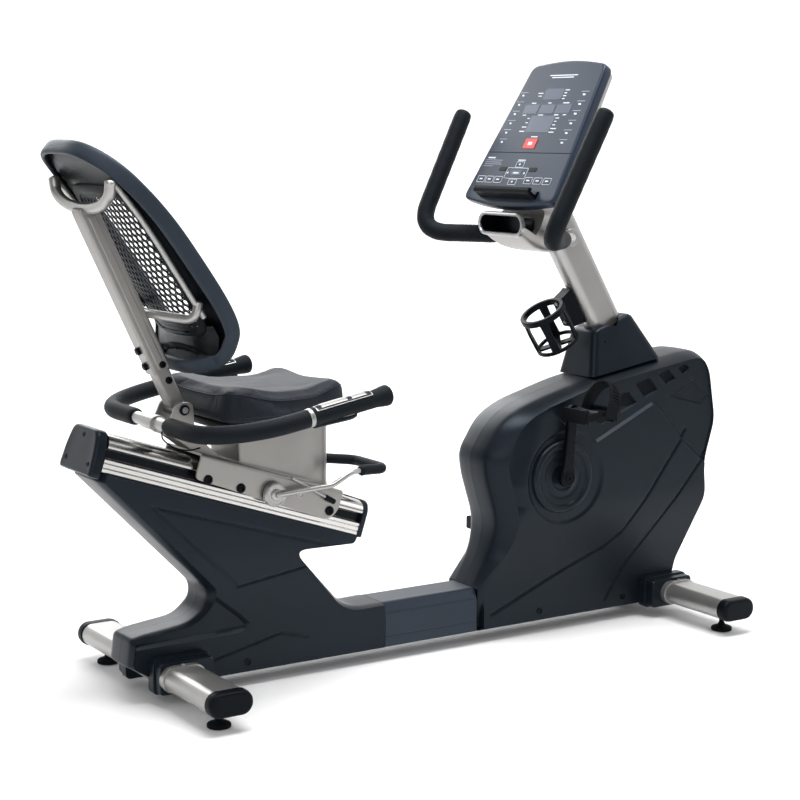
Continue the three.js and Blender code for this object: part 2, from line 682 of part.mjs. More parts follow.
add('lock_lever', lockLever(), STEEL);
add('lock_lever_grip', tube(stretch(leverPath, 0.31, 0.69, 18), 12, 15, { sides: 8, hole: 9 }), FOAM);

// ---------------------------------------------------------------- seat

const CUSHION_PLAN = [
  [-955, -182, 50], [-790, -194, 70], [-610, -146, 60], [-624, 0, 90], [-610, 146, 60], [-790, 194, 70],
  [-955, 182, 50],
];

const panPlan = outline(inset(CUSHION_PLAN, 12));
const cushionPlan = outline(CUSHION_PLAN);
add('seat_pan', flatPlate(panPlan, 600.5, 620, { bevel: 4, bevelSteps: 1, curve: 3 }), BLACK);
add('seat_cushion', flatPlate(cushionPlan, 620.5, 692, { bevel: 12, curve: 3 }), VINYL);

const seatBarPath = (() => {
  const side = (sign) => [[-1043, sign * 255, 614, 80], [-930, sign * 322, 630, 60], [-640, sign * 316, 680]];
  return roundedPath([...side(-1).reverse(), ...side(1)]);
})();

add('seat_handlebar', tube(seatBarPath, HANDLEBAR_RADIUS, 30), SILVER_PAINT);
const seatGrip = (low, high) => tube(stretch(seatBarPath, low, high), 20, 13,
  { hole: HANDLEBAR_RADIUS + 3.2 });
add('seat_grip_right', seatGrip(0.0, 0.44), FOAM);
add('seat_grip_left', seatGrip(0.56, 1.0), FOAM);
const pulsePlate = box(-70, 70, -12, 12, 20.8, 24).rotateY(-0.17).translate(-745, -318.5, 661.5);
addPair('pulse_plate', pulsePlate, CHROME);

// The hand-pulse lead loops from the cross tube down to the carriage.
const cablePath = new THREE.CatmullRomCurve3([
  [-1043, -46, 598], [-1040, -48, 580], [-1018, -60, 562], [-990, -70, 556], [-966, -76, 560],
].map(([x, y, z]) => new THREE.Vector3(x, y, z)));
add('sensor_cable', tube(cablePath, 1.8, 12, { sides: 8 }), RUBBER);

// ---------------------------------------------------------------- backrest

// The front face of the backrest at its side edge, from the lower edge to the top.
const BACK_CURVE = new THREE.CatmullRomCurve3([
  [-984, 706], [-932, 734], [-910, 786], [-920, 850], [-1016, 996], [-1094, 1096], [-1172, 1176],
  [-1238, 1230],
].map(([x, z]) => new THREE.Vector3(x, 0, z)), false, 'centripetal');
const BACK_CROWN = 46;         // how far the middle lies behind the side edges

// A point of the backrest: across is -1..1 of its half width, up is 0..1 of its height.
function backPoint(across, up, behind) {
  const point = BACK_CURVE.getPointAt(up);
  const along = BACK_CURVE.getTangentAt(up);
  const bulge = Math.sin(Math.PI * Math.min(1, up * 1.1 + 0.08));
  const depth = behind + BACK_CROWN * (1 - across * across) * bulge;
  return new THREE.Vector3(point.x - along.z * depth, across * BACK_HALF, point.z + along.x * depth);
}

// A closed loop of four-cornered sections, each one [corner, corner, corner, corner].
function loopOf(sections) {
  const positions = sections.flat().flatMap((point) => [point.x, point.y, point.z]);
  const index = [];
  sections.forEach((_, place) => {
    const next = (place + 1) % sections.length;
    for (let side = 0; side < 4; side += 1) {
      const turn = (side + 1) % 4;
      index.push(place * 4 + side, next * 4 + side, next * 4 + turn);
      index.push(place * 4 + side, next * 4 + turn, place * 4 + turn);
    }
  });
  const geometry = new THREE.BufferGeometry();
  geometry.setAttribute('position', new THREE.Float32BufferAttribute(positions, 3));
  geometry.setIndex(index);
  return geometry;
}

// Superellipse in across and up.
function backLoop(angle, halfAcross, middleUp, halfUp) {
  const power = (value) => Math.sign(value) * Math.abs(value) ** 0.56;
  return [halfAcross * power(Math.cos(angle)), middleUp + halfUp * power(Math.sin(angle))];
}

function backShell() {
  const count = 36;
  return loopOf(Array.from({ length: count }, (_, place) => {
    const angle = (place * 2 * Math.PI) / count;
    const outer = backLoop(angle, 1 - 0.1 * Math.sin(angle) ** 2, 0.5, 0.5);
    const inner = backLoop(angle, 0.72, 0.53, 0.3);
    return [
      backPoint(...outer, 0), backPoint(...inner, 8), backPoint(...inner, 28), backPoint(...outer, 38),
    ];
  }));
}

function backMesh() {
  const columns = 6;
  const rows = 8;
  const at = (column, row, behind) => backPoint(
    -0.7 + (1.4 * column) / columns, 0.25 + (0.56 * row) / rows, behind);
  const positions = [];
  const index = [];
  const width = columns + 1;
  const layer = width * (rows + 1);
  for (const behind of [40, 44]) {
    for (let row = 0; row <= rows; row += 1) {
      for (let column = 0; column <= columns; column += 1) {
        const point = at(column, row, behind);
        positions.push(point.x, point.y, point.z);
      }
    }
  }
  const quad = (a, b, c, d) => index.push(a, b, c, a, c, d);
  for (let row = 0; row < rows; row += 1) {
    for (let column = 0; column < columns; column += 1) {
      const a = row * width + column;
      quad(a, a + 1, a + 1 + width, a + width);
      quad(layer + a, layer + a + width, layer + a + 1 + width, layer + a + 1);
    }
  }
  for (let column = 0; column < columns; column += 1) {
    quad(column, layer + column, layer + column + 1, column + 1);
    const top = rows * width + column;
    quad(top, top + 1, layer + top + 1, layer + top);
  }
  for (let row = 0; row < rows; row += 1) {
    const left = row * width;
    quad(left, left + width, layer + left + width, layer + left);
    const right = left + columns;
    quad(right, layer + right, layer + right + width, right + width);
  }
  const geometry = new THREE.BufferGeometry();
  geometry.setAttribute('position', new THREE.Float32BufferAttribute(positions, 3));
  geometry.setIndex(index);
  return geometry;
}

function backFrame() {
  const post = placed(box(-22, 22, -24, 24, 96, 506), alongPost);
  const rail = (sign) => [0.32, 0.45, 0.6, 0.75, 0.86].map((up) => backPoint(sign * 0.78, up, 51));
  const side = (sign) => tube(new THREE.CatmullRomCurve3(rail(sign)), 9, 12, { sides: 8 });
  const hoop = (up, height, drop) => {
    const right = backPoint(-0.78, up, 51);
    const left = backPoint(0.78, up, 51);
    const middle = new THREE.Vector3(0, 0, height).applyMatrix4(alongPost.matrix);
    const knee = (end, sign) => new THREE.Vector3(
      middle.x * 0.45 + end.x * 0.55, sign * 104, middle.z * 0.45 + end.z * 0.55 - drop);
    return tube(new THREE.CatmullRomCurve3([right, knee(right, -1), middle, knee(left, 1), left]),
      10, 18, { sides: 8 });
  };
  return join(post, side(-1), side(1), hoop(0.86, 484, 14), hoop(0.32, 232, 0));
}

function backPost() {
  const sleeve = cut(disc(...RECLINE_AXIS, 15, -33, 33, 20), disc(...RECLINE_AXIS, 8.6, -40, 40, 20));
  const bar = placed(box(-17, 17, -20, 20, 12, 95.6), alongPost);
  const bore = disc(...RECLINE_AXIS, 8.6, -40, 40, 20);
  return cut(join(sleeve, bar), bore);
}

alongPost.updateMatrix();
add('backrest_frame', backFrame(), SILVER_PAINT);
add('backrest_post', backPost(), SILVER_PAINT);
add('backrest_shell', backShell(), SLATE);
add('backrest_mesh', backMesh(), BLACK);

// ---------------------------------------------------------------- console and handlebar

const mastTube = flatPlate(stadium(MAST_DEPTH, MAST_WIDTH, 3), 0, MAST_LENGTH, { curve: 5 });
const barSleeve = disc(-10.5, 500, HANDLEBAR_RADIUS + 3, -60, 60);
add('console_mast', cut(mastTube, barSleeve), SILVER_PAINT, alongMast);

const PANEL = [
  [-184, 0, 18], [-90, -14, 60], [0, -18, 60], [90, -14, 60], [184, 0, 18], [143, 372, 30],
  [70, 386, 60], [0, 390, 60], [-70, 386, 60], [-143, 372, 30],
];
const panelFront = crossPlate(outline(PANEL), 0, 26, { bevel: 5, curve: 3, bevelSteps: 1 });
add('console_front', panelFront, SLATE, onConsole);
add('console_back', join(
  crossPlate(outline(inset(PANEL, 10)), 26.4, 44, { bevel: 6, curve: 3, bevelSteps: 1 }),
  crossPlate(outline([[-96, 40, 20], [96, 40, 20], [70, 280, 20], [-70, 280, 20]]), 40, 78,
    { bevel: 8, curve: 3, bevelSteps: 1 })), SILVER_PAINT, onConsole);
add('reading_ledge', crossPlate(outline([
  [-110, 6, 6], [110, 6, 6], [104, 34, 6], [-104, 34, 6],
]), -30, -GAP, { bevel: 3, bevelSteps: 1 }), BLACK, onConsole);

// The housing under the panel holds an oval tray that opens towards the rider.
function consoleHousing() {
  const block = sidePlate(outline([
    [-110, 1004, 14], [-60, 962, 20], [20, 950, 20], [66, 985, 16], [52, 1046, 6], [-58, 1046, 6],
    [-104, 1040, 14],
  ]), -98, 98, { curve: 3 });
  const tray = crossPlate(stadium(168, 44), -140, -40).translate(0, 0, 1020);
  const mastHole = placed(box(-52, 52, -29, 29, 300, 620), alongMast);
  const panelRoom = placed(box(-20, 90, -200, 200, -40, 200), onConsole);
  const barRoom = tube(frontBarPath, HANDLEBAR_RADIUS + 2, 32);
  return cut(block, tray, mastHole, panelRoom, barRoom);
}

const frontBarPath = (() => {
  const side = (sign) => [
    [70, sign * 50, 984, 14], [-70, sign * 180, 988, 20],
    [-170, sign * 272, 990, 80], [-21, sign * 285, 1284],
  ];
  return roundedPath([...side(-1).reverse(), ...side(1)]);
})();

add('console_housing', consoleHousing(), SILVER_PAINT);
add('handlebar', tube(frontBarPath, HANDLEBAR_RADIUS, 32), SILVER_PAINT);
const barGrip = (low, high) => tube(stretch(frontBarPath, low, high), GRIP_RADIUS, 17,
  { hole: HANDLEBAR_RADIUS + 5 });
add('handlebar_grip_right', barGrip(0, 0.37), FOAM);
add('handlebar_grip_left', barGrip(0.63, 1), FOAM);

// ---------------------------------------------------------------- bottle holder

function bottleHolder() {
  const centre = -146;
  const height = 358;
  const hoop = (z) => flatPlate(ring(57, 20, 49), z, z + 10).translate(centre, 0, 0);
  const leg = (angle) => box(49, 56, -7, 7, -92, 4).rotateZ(angle).translate(centre, 0, height);
  const base = flatPlate(ring(56, 20), -92, -84).translate(centre, 0, height);
  const arm = box(centre + 50, -MAST_DEPTH / 2 - GAP, -17, 17, height - 70, height + 10);
  return join(hoop(height), leg(0.9), leg(-0.9), leg(2.3), leg(-2.3), base, arm);
}

add('bottle_holder', bottleHolder(), BLACK, alongMast);

export default bike;
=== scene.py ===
"""Looks of a recumbent exercise bike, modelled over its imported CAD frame.

Pieces are laid out in millimetres from the same point as the CAD parts: x runs forward from close to
the crank axis, y to the rider's left and z up from the floor. row() turns that into metres in the
row frame, where the origin is the bottom centre of the whole bike.
"""
import json
import math

import bmesh
import bpy
from mathutils import Matrix, Vector

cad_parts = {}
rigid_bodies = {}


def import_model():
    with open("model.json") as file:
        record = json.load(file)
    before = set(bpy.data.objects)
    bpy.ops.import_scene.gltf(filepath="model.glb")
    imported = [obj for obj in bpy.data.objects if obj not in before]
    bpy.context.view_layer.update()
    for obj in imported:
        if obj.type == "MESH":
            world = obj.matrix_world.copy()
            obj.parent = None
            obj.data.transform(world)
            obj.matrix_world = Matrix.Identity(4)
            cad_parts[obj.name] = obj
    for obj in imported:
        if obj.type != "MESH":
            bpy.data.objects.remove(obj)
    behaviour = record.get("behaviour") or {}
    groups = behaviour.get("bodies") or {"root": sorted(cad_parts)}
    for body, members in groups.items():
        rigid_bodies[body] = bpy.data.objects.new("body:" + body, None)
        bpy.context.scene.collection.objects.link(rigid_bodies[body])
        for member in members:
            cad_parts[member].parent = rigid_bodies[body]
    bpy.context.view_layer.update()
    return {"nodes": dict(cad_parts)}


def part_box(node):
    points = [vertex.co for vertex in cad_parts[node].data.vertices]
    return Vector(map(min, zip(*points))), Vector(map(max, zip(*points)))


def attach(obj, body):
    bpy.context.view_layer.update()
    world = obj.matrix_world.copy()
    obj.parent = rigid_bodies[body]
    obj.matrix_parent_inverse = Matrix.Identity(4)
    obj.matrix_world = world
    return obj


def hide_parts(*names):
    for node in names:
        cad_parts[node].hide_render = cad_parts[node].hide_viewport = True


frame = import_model()

# ------------------------------------------------------------------ layout

CRANK_X = 18
CRANK_Z = 400
axle_low, axle_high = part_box("crank_axle")
ORIGIN_X = (axle_low[0] + axle_high[0]) / 2 - CRANK_X / 1000

BAR_Z = 64
REAR_BAR_X = -1034
FRONT_BAR_X = 388
RAIL_START = (-1197, 529)
RAIL_SLOPE = math.radians(18.5)
CRANK_LENGTH = 165
CRANK_ANGLE = math.radians(5)
FRONT_HALF = 98
REAR_HALF = 78
BEAM_HALF = 61
BODY_BOTTOM = 34


def slanted(x, z, angle):
    """The frame at (x, z) turned about y."""
    return Matrix.Translation((x, 0, z)) @ Matrix.Rotation(angle, 4, "Y")


LEVEL = Matrix.Identity(4)
RAIL = slanted(*RAIL_START, RAIL_SLOPE)
MAST = slanted(335, 560, math.radians(-30.8))
CONSOLE = slanted(-92, 1078, math.radians(29.7))
POST = slanted(-985, 640, math.radians(-25.3))


def row(point):
    """Millimetres from the layout point to metres in the row frame."""
    return Vector((point[0] / 1000 + ORIGIN_X, point[1] / 1000, point[2] / 1000))


def smooth_step(value):
    """0 below 0, 1 above 1 and a soft curve between."""
    t = min(1.0, max(0.0, value))
    return t * t * (3 - 2 * t)


# ------------------------------------------------------------------ materials


def new_nodes(name):
    look = bpy.data.materials.new(name)
    look.use_nodes = True
    nodes = look.node_tree.nodes
    return look, nodes, look.node_tree.links, nodes["Principled BSDF"]


def scaled(color, factor):
    return (*(min(1.0, channel * factor) for channel in color), 1.0)


def surface_look(name, color, roughness, metallic=0.0, specular=0.5, tint=(1.0, 1.0, 1.0),
                 mottle=0.12, mottle_scale=9.0, grain=0.15, grain_scale=900.0, grain_depth=0.0004,
                 kind="noise", stretch=(1.0, 1.0, 1.0), turn=0.0, spread=0.06, edge_highlight=0.0):
    """A procedural finish: mottled colour, uneven gloss, a fine relief and painted highlights that lighten
    convex edges.
    """
    look, nodes, links, shader = new_nodes(name)
    shader.inputs["Metallic"].default_value = metallic
    shader.inputs["Specular IOR Level"].default_value = specular
    shader.inputs["Specular Tint"].default_value = (*tint, 1.0)
    place = nodes.new("ShaderNodeTexCoord")
    turned = nodes.new("ShaderNodeMapping")
    turned.inputs["Rotation"].default_value = (0.0, turn, 0.0)
    turned.inputs["Scale"].default_value = stretch
    links.new(place.outputs["Object"], turned.inputs["Vector"])

    patches = nodes.new("ShaderNodeTexNoise")
    patches.inputs["Scale"].default_value = mottle_scale
    patches.inputs["Detail"].default_value = 4.0
    links.new(turned.outputs["Vector"], patches.inputs["Vector"])
    tones = nodes.new("ShaderNodeValToRGB")
    tones.color_ramp.elements[0].position = 0.3
    tones.color_ramp.elements[0].color = scaled(color, 1 - mottle)
    tones.color_ramp.elements[1].position = 0.7
    tones.color_ramp.elements[1].color = scaled(color, 1 + mottle)
    links.new(patches.outputs["Fac"], tones.inputs["Fac"])
    colour = tones.outputs["Color"]
    # painted highlight: convex edges, found by pointiness, are lightened to stand in for lit fillets
    if edge_highlight > 0:
        shape = nodes.new("ShaderNodeNewGeometry")
        edge = nodes.new("ShaderNodeMapRange")
        edge.inputs["From Min"].default_value = 0.52
        edge.inputs["From Max"].default_value = 0.62
        edge.inputs["To Max"].default_value = edge_highlight
        links.new(shape.outputs["Pointiness"], edge.inputs["Value"])
        highlight_blend = nodes.new("ShaderNodeMix")
        highlight_blend.data_type = "RGBA"
        highlight_blend.inputs["B"].default_value = scaled(color, 2.4)
        links.new(edge.outputs["Result"], highlight_blend.inputs["Factor"])
        links.new(colour, highlight_blend.inputs["A"])
        colour = highlight_blend.outputs["Result"]
    links.new(colour, shader.inputs["Base Color"])

    fine = nodes.new("ShaderNodeTexVoronoi" if kind == "cells" else "ShaderNodeTexNoise")
    fine.inputs["Scale"].default_value = grain_scale
    fine.inputs["Detail"].default_value = 2.0
    links.new(turned.outputs["Vector"], fine.inputs["Vector"])
    height = fine.outputs["Distance" if kind == "cells" else "Fac"]
    gloss = nodes.new("ShaderNodeMapRange")
    gloss.inputs["To Min"].default_value = max(0.02, roughness - spread)
    gloss.inputs["To Max"].default_value = roughness + spread
    links.new(patches.outputs["Fac"], gloss.inputs["Value"])
    links.new(gloss.outputs["Result"], shader.inputs["Roughness"])
    relief = nodes.new("ShaderNodeBump")
    relief.inputs["Strength"].default_value = grain
    relief.inputs["Distance"].default_value = grain_depth
    links.new(height, relief.inputs["Height"])
    links.new(relief.outputs["Normal"], shader.inputs["Normal"])
    return look


COOL = (0.74, 0.87, 1.0)
NAVY = surface_look("navy_plastic", (0.0054, 0.0082, 0.0120), 0.33, specular=0.2, tint=COOL, grain=0.25,
                    edge_highlight=0.22)
BEAM = surface_look("beam_plastic", (0.015, 0.020, 0.029), 0.38, specular=0.3, tint=COOL, grain=0.3,
                    grain_scale=260.0, stretch=(0.05, 1.0, 1.0), edge_highlight=0.3)
BLACK = surface_look("black_plastic", (0.0026, 0.0032, 0.0042), 0.42, specular=0.1, tint=COOL, grain=0.3,
                     edge_highlight=0.2)
GLOSS_BLACK = surface_look("gloss_black", (0.0020, 0.0025, 0.0034), 0.28, specular=0.12, tint=COOL,
                           grain=0.05, mottle=0.08)
FOAM = surface_look("foam_grip", (0.0045, 0.0055, 0.0070), 0.62, specular=0.16, tint=COOL, grain=0.5,
                    kind="cells",
                    grain_scale=650.0, mottle=0.2)
VINYL = surface_look("vinyl", (0.0095, 0.0115, 0.0155), 0.54, specular=0.2, tint=COOL, grain=0.55,
                     kind="cells",
                     grain_scale=420.0, grain_depth=0.0005, mottle=0.10)
SLATE = surface_look("slate_plastic", (0.015, 0.022, 0.038), 0.34, specular=0.35, tint=(0.75, 0.87, 1.0),
                     grain=0.2, edge_highlight=0.1)
PAD = surface_look("slate_foam", (0.020, 0.026, 0.036), 0.46, specular=0.3, tint=COOL, grain=0.35,
                   kind="cells",
                   grain_scale=800.0)
SILVER = surface_look("silver_paint", (0.38, 0.375, 0.365), 0.32, metallic=0.8, grain=0.12,
                      grain_scale=1600.0, mottle=0.05)
# painted shade: a darker copy of the silver paint, for the silver parts that sit in shade, such as the seat
# carriage, the console neck and the backrest post
SHADED_SILVER = surface_look("shaded_silver_paint", (0.30, 0.29, 0.275), 0.36, metallic=0.7, grain=0.12, grain_scale=1600.0,
                     mottle=0.06)
EXTRUDED = surface_look("brushed_rail", (0.58, 0.57, 0.55), 0.2, metallic=1.0, grain=0.08, mottle=0.04,
                        grain_scale=700.0, stretch=(0.02, 1.0, 1.0), turn=RAIL_SLOPE, spread=0.03)
STEEL = surface_look("steel", (0.34, 0.34, 0.35), 0.30, metallic=1.0, grain=0.1, mottle=0.1)
RUBBER = surface_look("rubber", (0.0035, 0.0042, 0.0052), 0.8, specular=0.15, tint=COOL, grain=0.4,
                      mottle=0.15)
WINDOW = surface_look("display_window", (0.050, 0.065, 0.100), 0.24, specular=0.4, grain=0.02, mottle=0.05)
PRINT = surface_look("white_print", (0.62, 0.66, 0.72), 0.5, grain=0.02, mottle=0.04)
DIM_PRINT = surface_look("grey_print", (0.27, 0.30, 0.37), 0.5, grain=0.02, mottle=0.04)
RED = surface_look("red_key", (0.62, 0.03, 0.03), 0.4, grain=0.02, mottle=0.06)

# ------------------------------------------------------------------ mesh helpers


def corner_curve(points, steps=6):
    """A closed outline whose corners are rounded; a last number on a point is its radius."""
    result = []
    count = len(points)
    for index, point in enumerate(points):
        here = Vector(point[:2])
        radius = point[2] if len(point) > 2 else 0
        before = Vector(points[index - 1][:2]) - here
        after = Vector(points[(index + 1) % count][:2]) - here
        reach = min(radius, before.length * 0.48, after.length * 0.48)
        if reach <= 0:
            result.append(here)
            continue
        start = here + before.normalized() * reach
        end = here + after.normalized() * reach
        for step in range(steps + 1):
            t = step / steps
            result.append(start * (1 - t) ** 2 + here * (2 * t * (1 - t)) + end * t * t)
    return result


def route(points, steps=10):
    """A path of straight runs with rounded corners; each point is (x, y, z) or (x, y, z, radius)."""
    result = [Vector(points[0][:3])]
    for index in range(1, len(points) - 1):
        corner = Vector(points[index][:3])
        radius = points[index][3] if len(points[index]) > 3 else 0
        back = (Vector(points[index - 1][:3]) - corner).normalized()
        ahead = (Vector(points[index + 1][:3]) - corner).normalized()
        start = corner + back * radius
        end = corner + ahead * radius
        for step in range(steps + 1):
            t = step / steps
            result.append(start * (1 - t) ** 2 + corner * (2 * t * (1 - t)) + end * t * t)
    result.append(Vector(points[-1][:3]))
    return result


def spaced(path, gap):
    """The same path with points about gap apart."""
    result = [path[0]]
    for start, end in zip(path, path[1:]):
        count = max(1, round((end - start).length / gap))
        for step in range(1, count + 1):
            result.append(start.lerp(end, step / count))
    return result


def flowing(points, steps=8):
    """A smooth curve through the points."""
    ends = [points[0] * 2 - points[1], *points, points[-1] * 2 - points[-2]]
    result = []
    for a, b, c, d in zip(ends, ends[1:], ends[2:], ends[3:]):
        for step in range(steps):
            t = step / steps
            result.append(0.5 * ((2 * b) + (c - a) * t + (2 * a - 5 * b + 4 * c - d) * t * t
                                 + (3 * b - a - 3 * c + d) * t ** 3))
    result.append(points[-1])
    return result


def part_of(path, low, high):
    """The stretch of a path between two fractions of its length."""
    lengths = [0.0]
    for start, end in zip(path, path[1:]):
        lengths.append(lengths[-1] + (end - start).length)
    total = lengths[-1]

    def at(fraction):
        goal = fraction * total
        for index in range(1, len(path)):
            if lengths[index] >= goal:
                share = (goal - lengths[index - 1]) / max(1e-9, lengths[index] - lengths[index - 1])
                return path[index - 1].lerp(path[index], share)
        return path[-1]

    inner = [path[i] for i in range(len(path)) if low * total + 1 < lengths[i] < high * total - 1]
    return [at(low), *inner, at(high)]


def piece(name, points, faces, look, body, at=LEVEL, stands_for=(), sharp=32, bevel=0.0, segments=3,
          levels=0, slot=None):
    """A mesh piece on a body. Points are in millimetres of the slanted frame given by at."""
    mesh = bpy.data.meshes.new(name)
    mesh.from_pydata([row(at @ Vector(point)) for point in points], [], faces)
    shape = bmesh.new()
    shape.from_mesh(mesh)
    bmesh.ops.remove_doubles(shape, verts=shape.verts, dist=1e-6)
    bmesh.ops.recalc_face_normals(shape, faces=shape.faces)
    shape.to_mesh(mesh)
    shape.free()
    obj = bpy.data.objects.new(name, mesh)
    bpy.context.scene.collection.objects.link(obj)
    mesh.materials.append(look)
    if bevel:
        rounded = obj.modifiers.new("edges", "BEVEL")
        rounded.width = bevel / 1000
        rounded.segments = segments
        rounded.limit_method = "ANGLE"
        rounded.angle_limit = math.radians(28)
    if levels:
        finer = obj.modifiers.new("finer", "SUBSURF")
        finer.levels = levels
        finer.render_levels = levels
    settle(obj, sharp)
    if body:
        on_body(obj, body, stands_for)
    return obj


def on_body(obj, body, stands_for=()):
    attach(obj, body)
    if stands_for:
        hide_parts(*stands_for)


def settle(obj, sharp=32):
    """Applies the modifiers, then shades smooth between the sharp edges."""
    if obj.modifiers:
        ready = obj.evaluated_get(bpy.context.evaluated_depsgraph_get())
        mesh = bpy.data.meshes.new_from_object(ready)
        obj.modifiers.clear()
        old = obj.data
        obj.data = mesh
        bpy.data.meshes.remove(old)
    obj.data.polygons.foreach_set("use_smooth", [True] * len(obj.data.polygons))
    obj.data.set_sharp_from_angle(angle=math.radians(sharp))
    weighted = obj.modifiers.new("even_shading", "WEIGHTED_NORMAL")
    weighted.keep_sharp = True


def carve(obj, *tools, sharp=32, join=False):
    """Cuts the tools away from the piece, or joins them to it, and removes them."""
    obj.modifiers.clear()
    for tool in tools:
        tool.modifiers.clear()
        change = obj.modifiers.new("carve", "BOOLEAN")
        change.operation = "UNION" if join else "DIFFERENCE"
        change.solver = "EXACT"
        change.object = tool
    ready = obj.evaluated_get(bpy.context.evaluated_depsgraph_get())
    mesh = bpy.data.meshes.new_from_object(ready)
    obj.modifiers.clear()
    obj.data = mesh
    for tool in tools:
        bpy.data.objects.remove(tool)
    settle(obj, sharp)
    return obj


def loft(name, rings, look, body=None, closed=False, **options):
    """A skin through rings of equally many points, with flat ends unless it closes on itself."""
    count = len(rings[0])
    points = [point for ring in rings for point in ring]
    faces = []
    total = len(rings)
    for layer in range(total if closed else total - 1):
        here = layer * count
        above = ((layer + 1) % total) * count
        for place in range(count):
            turn = (place + 1) % count
            faces.append((here + place, here + turn, above + turn, above + place))
    if not closed:
        faces.append(tuple(reversed(range(count))))
        faces.append(tuple(range((total - 1) * count, total * count)))
    return piece(name, points, faces, look, body, **options)


def plane_point(plane, a, b, level):
    return {"side": (a, level, b), "cross": (level, a, b), "flat": (a, b, level)}[plane]


def prism(name, shape, plane, low, high, look, body=None, steps=6, **options):
    """An outline in a plane, side (x, z), cross (y, z) or flat (x, y), between two levels."""
    flat = corner_curve(shape, steps)
    rings = [[plane_point(plane, p[0], p[1], level) for p in flat] for level in (low, high)]
    return loft(name, rings, look, body, **options)


def stadium(width, height, steps=12):
    """An oval of two half circles joined by straight runs, across and up."""
    radius = min(width, height) / 2
    half = max(width, height) / 2 - radius
    result = []
    for sign in (1, -1):
        for step in range(steps + 1):
            angle = math.pi * (step / steps - 0.5)
            run = sign * (half + radius * math.cos(angle))
            rise = sign * radius * math.sin(angle)
            result.append((run, rise) if width >= height else (-rise, run))
    return result


def turned(name, profile, look, body=None, centre=(0, 0, 0), axis="z", sides=40, **options):
    """A turned piece; the profile is (radius, height) along the axis, ending on the axis or not."""
    points = []
    faces = []
    for radius, height in profile:
        for side in range(sides):
            angle = 2 * math.pi * side / sides
            a = radius * math.cos(angle)
            b = radius * math.sin(angle)
            local = {"z": (a, b, height), "y": (a, height, b), "x": (height, a, b)}[axis]
            points.append([local[i] + centre[i] for i in range(3)])
    for layer in range(len(profile) - 1):
        for side in range(sides):
            turn = (side + 1) % sides
            faces.append((layer * sides + side, layer * sides + turn,
                          (layer + 1) * sides + turn, (layer + 1) * sides + side))
    for layer, flip in ((0, True), (len(profile) - 1, False)):
        cap = [layer * sides + side for side in range(sides)]
        faces.append(tuple(reversed(cap)) if flip else tuple(cap))
    return piece(name, points, faces, look, body, **options)


def bolt(name, centre, look, body, radius=7, height=4, side=-1, at=LEVEL, axis="y"):
    """A domed bolt head with a round socket, its top facing the given side of the axis."""
    dome = [(radius, 0), (radius, height * 0.45), (radius * 0.86, height * 0.82), (radius * 0.6, height)]
    hole = radius / 2
    dome += [(hole, height), (hole * 0.98, height * 0.35)]
    profile = [(r, h * side) for r, h in dome]
    return turned(name, profile, look, body, centre=centre, axis=axis, sides=24, at=at)


def frames_along(path):
    """Two square directions at each point of a path, carried along it without twist."""
    tangents = []
    for index in range(len(path)):
        ahead = path[min(index + 1, len(path) - 1)] - path[max(index - 1, 0)]
        tangents.append(ahead.normalized())
    first = Vector((0, 0, 1)).cross(tangents[0])
    if first.length < 0.1:
        first = Vector((0, 1, 0)).cross(tangents[0])
    first.normalize()
    result = []
    for tangent in tangents:
        first = (first - tangent * first.dot(tangent)).normalized()
        result.append((first, tangent.cross(first)))
    return result


def tube(name, path, radius, look, body=None, sides=28, ends="flat", section=None, **options):
    """A tube along a path.

    radius is a number or one per point; section is an outline in place of a circle.
    """
    count = len(path)
    sizes = radius if isinstance(radius, (list, tuple)) else [radius] * count
    directions = frames_along(path)
    outline = section or [(math.cos(2 * math.pi * i / sides), math.sin(2 * math.pi * i / sides))
                          for i in range(sides)]
    rings = []

    def ring(centre, index, size):
        across, up = directions[index]
        return [centre + across * (a * size) + up * (b * size) for a, b in outline]

    def dome(index, outward):
        size = sizes[index]
        steps = [math.radians(angle) for angle in (15, 35, 55, 72, 84)]
        depth = size * (0.55 if ends == "round" else 0.16)
        lip = 1.0 if ends == "round" else 0.16
        return [ring(path[index] + outward * depth * math.sin(a), index,
                     size * (1 - lip + lip * math.cos(a))) for a in steps]

    if ends != "open":
        rings += reversed(dome(0, (path[0] - path[1]).normalized()))
    rings += [ring(path[i], i, sizes[i]) for i in range(count)]
    if ends != "open":
        rings += dome(count - 1, (path[-1] - path[-2]).normalized())
    return loft(name, rings, look, body, **options)


def mirrored_points(points):
    return [(point[0], -point[1], point[2]) for point in points]


def nearest_on_line(point, line):
    """Distance from a flat point to an open line of flat points."""
    best = 1e9
    for start, end in zip(line, line[1:]):
        run = end - start
        share = max(0.0, min(1.0, (point - start).dot(run) / run.length_squared))
        best = min(best, (point - start - run * share).length)
    return best


def inside(point, polygon):
    """Signed depth of a flat point in a polygon: above 0 inside."""
    crossings = False
    count = len(polygon)
    for index in range(count):
        a = polygon[index]
        b = polygon[(index + 1) % count]
        if (a.y > point.y) != (b.y > point.y):
            if point.x < (b.x - a.x) * (point.y - a.y) / (b.y - a.y) + a.x:
                crossings = not crossings
    distance = nearest_on_line(point, [*polygon, polygon[0]])
    return distance if crossings else -distance

# ------------------------------------------------------------------ camera, floor and light

VIEW_TURN = -0.5756            # camera azimuth and height angle, radians
VIEW_RISE = 0.1452
VIEW_ROLL = 0.0025
CAMERA_AT = (ORIGIN_X - 2.7696, -3.6404, 1.2512)

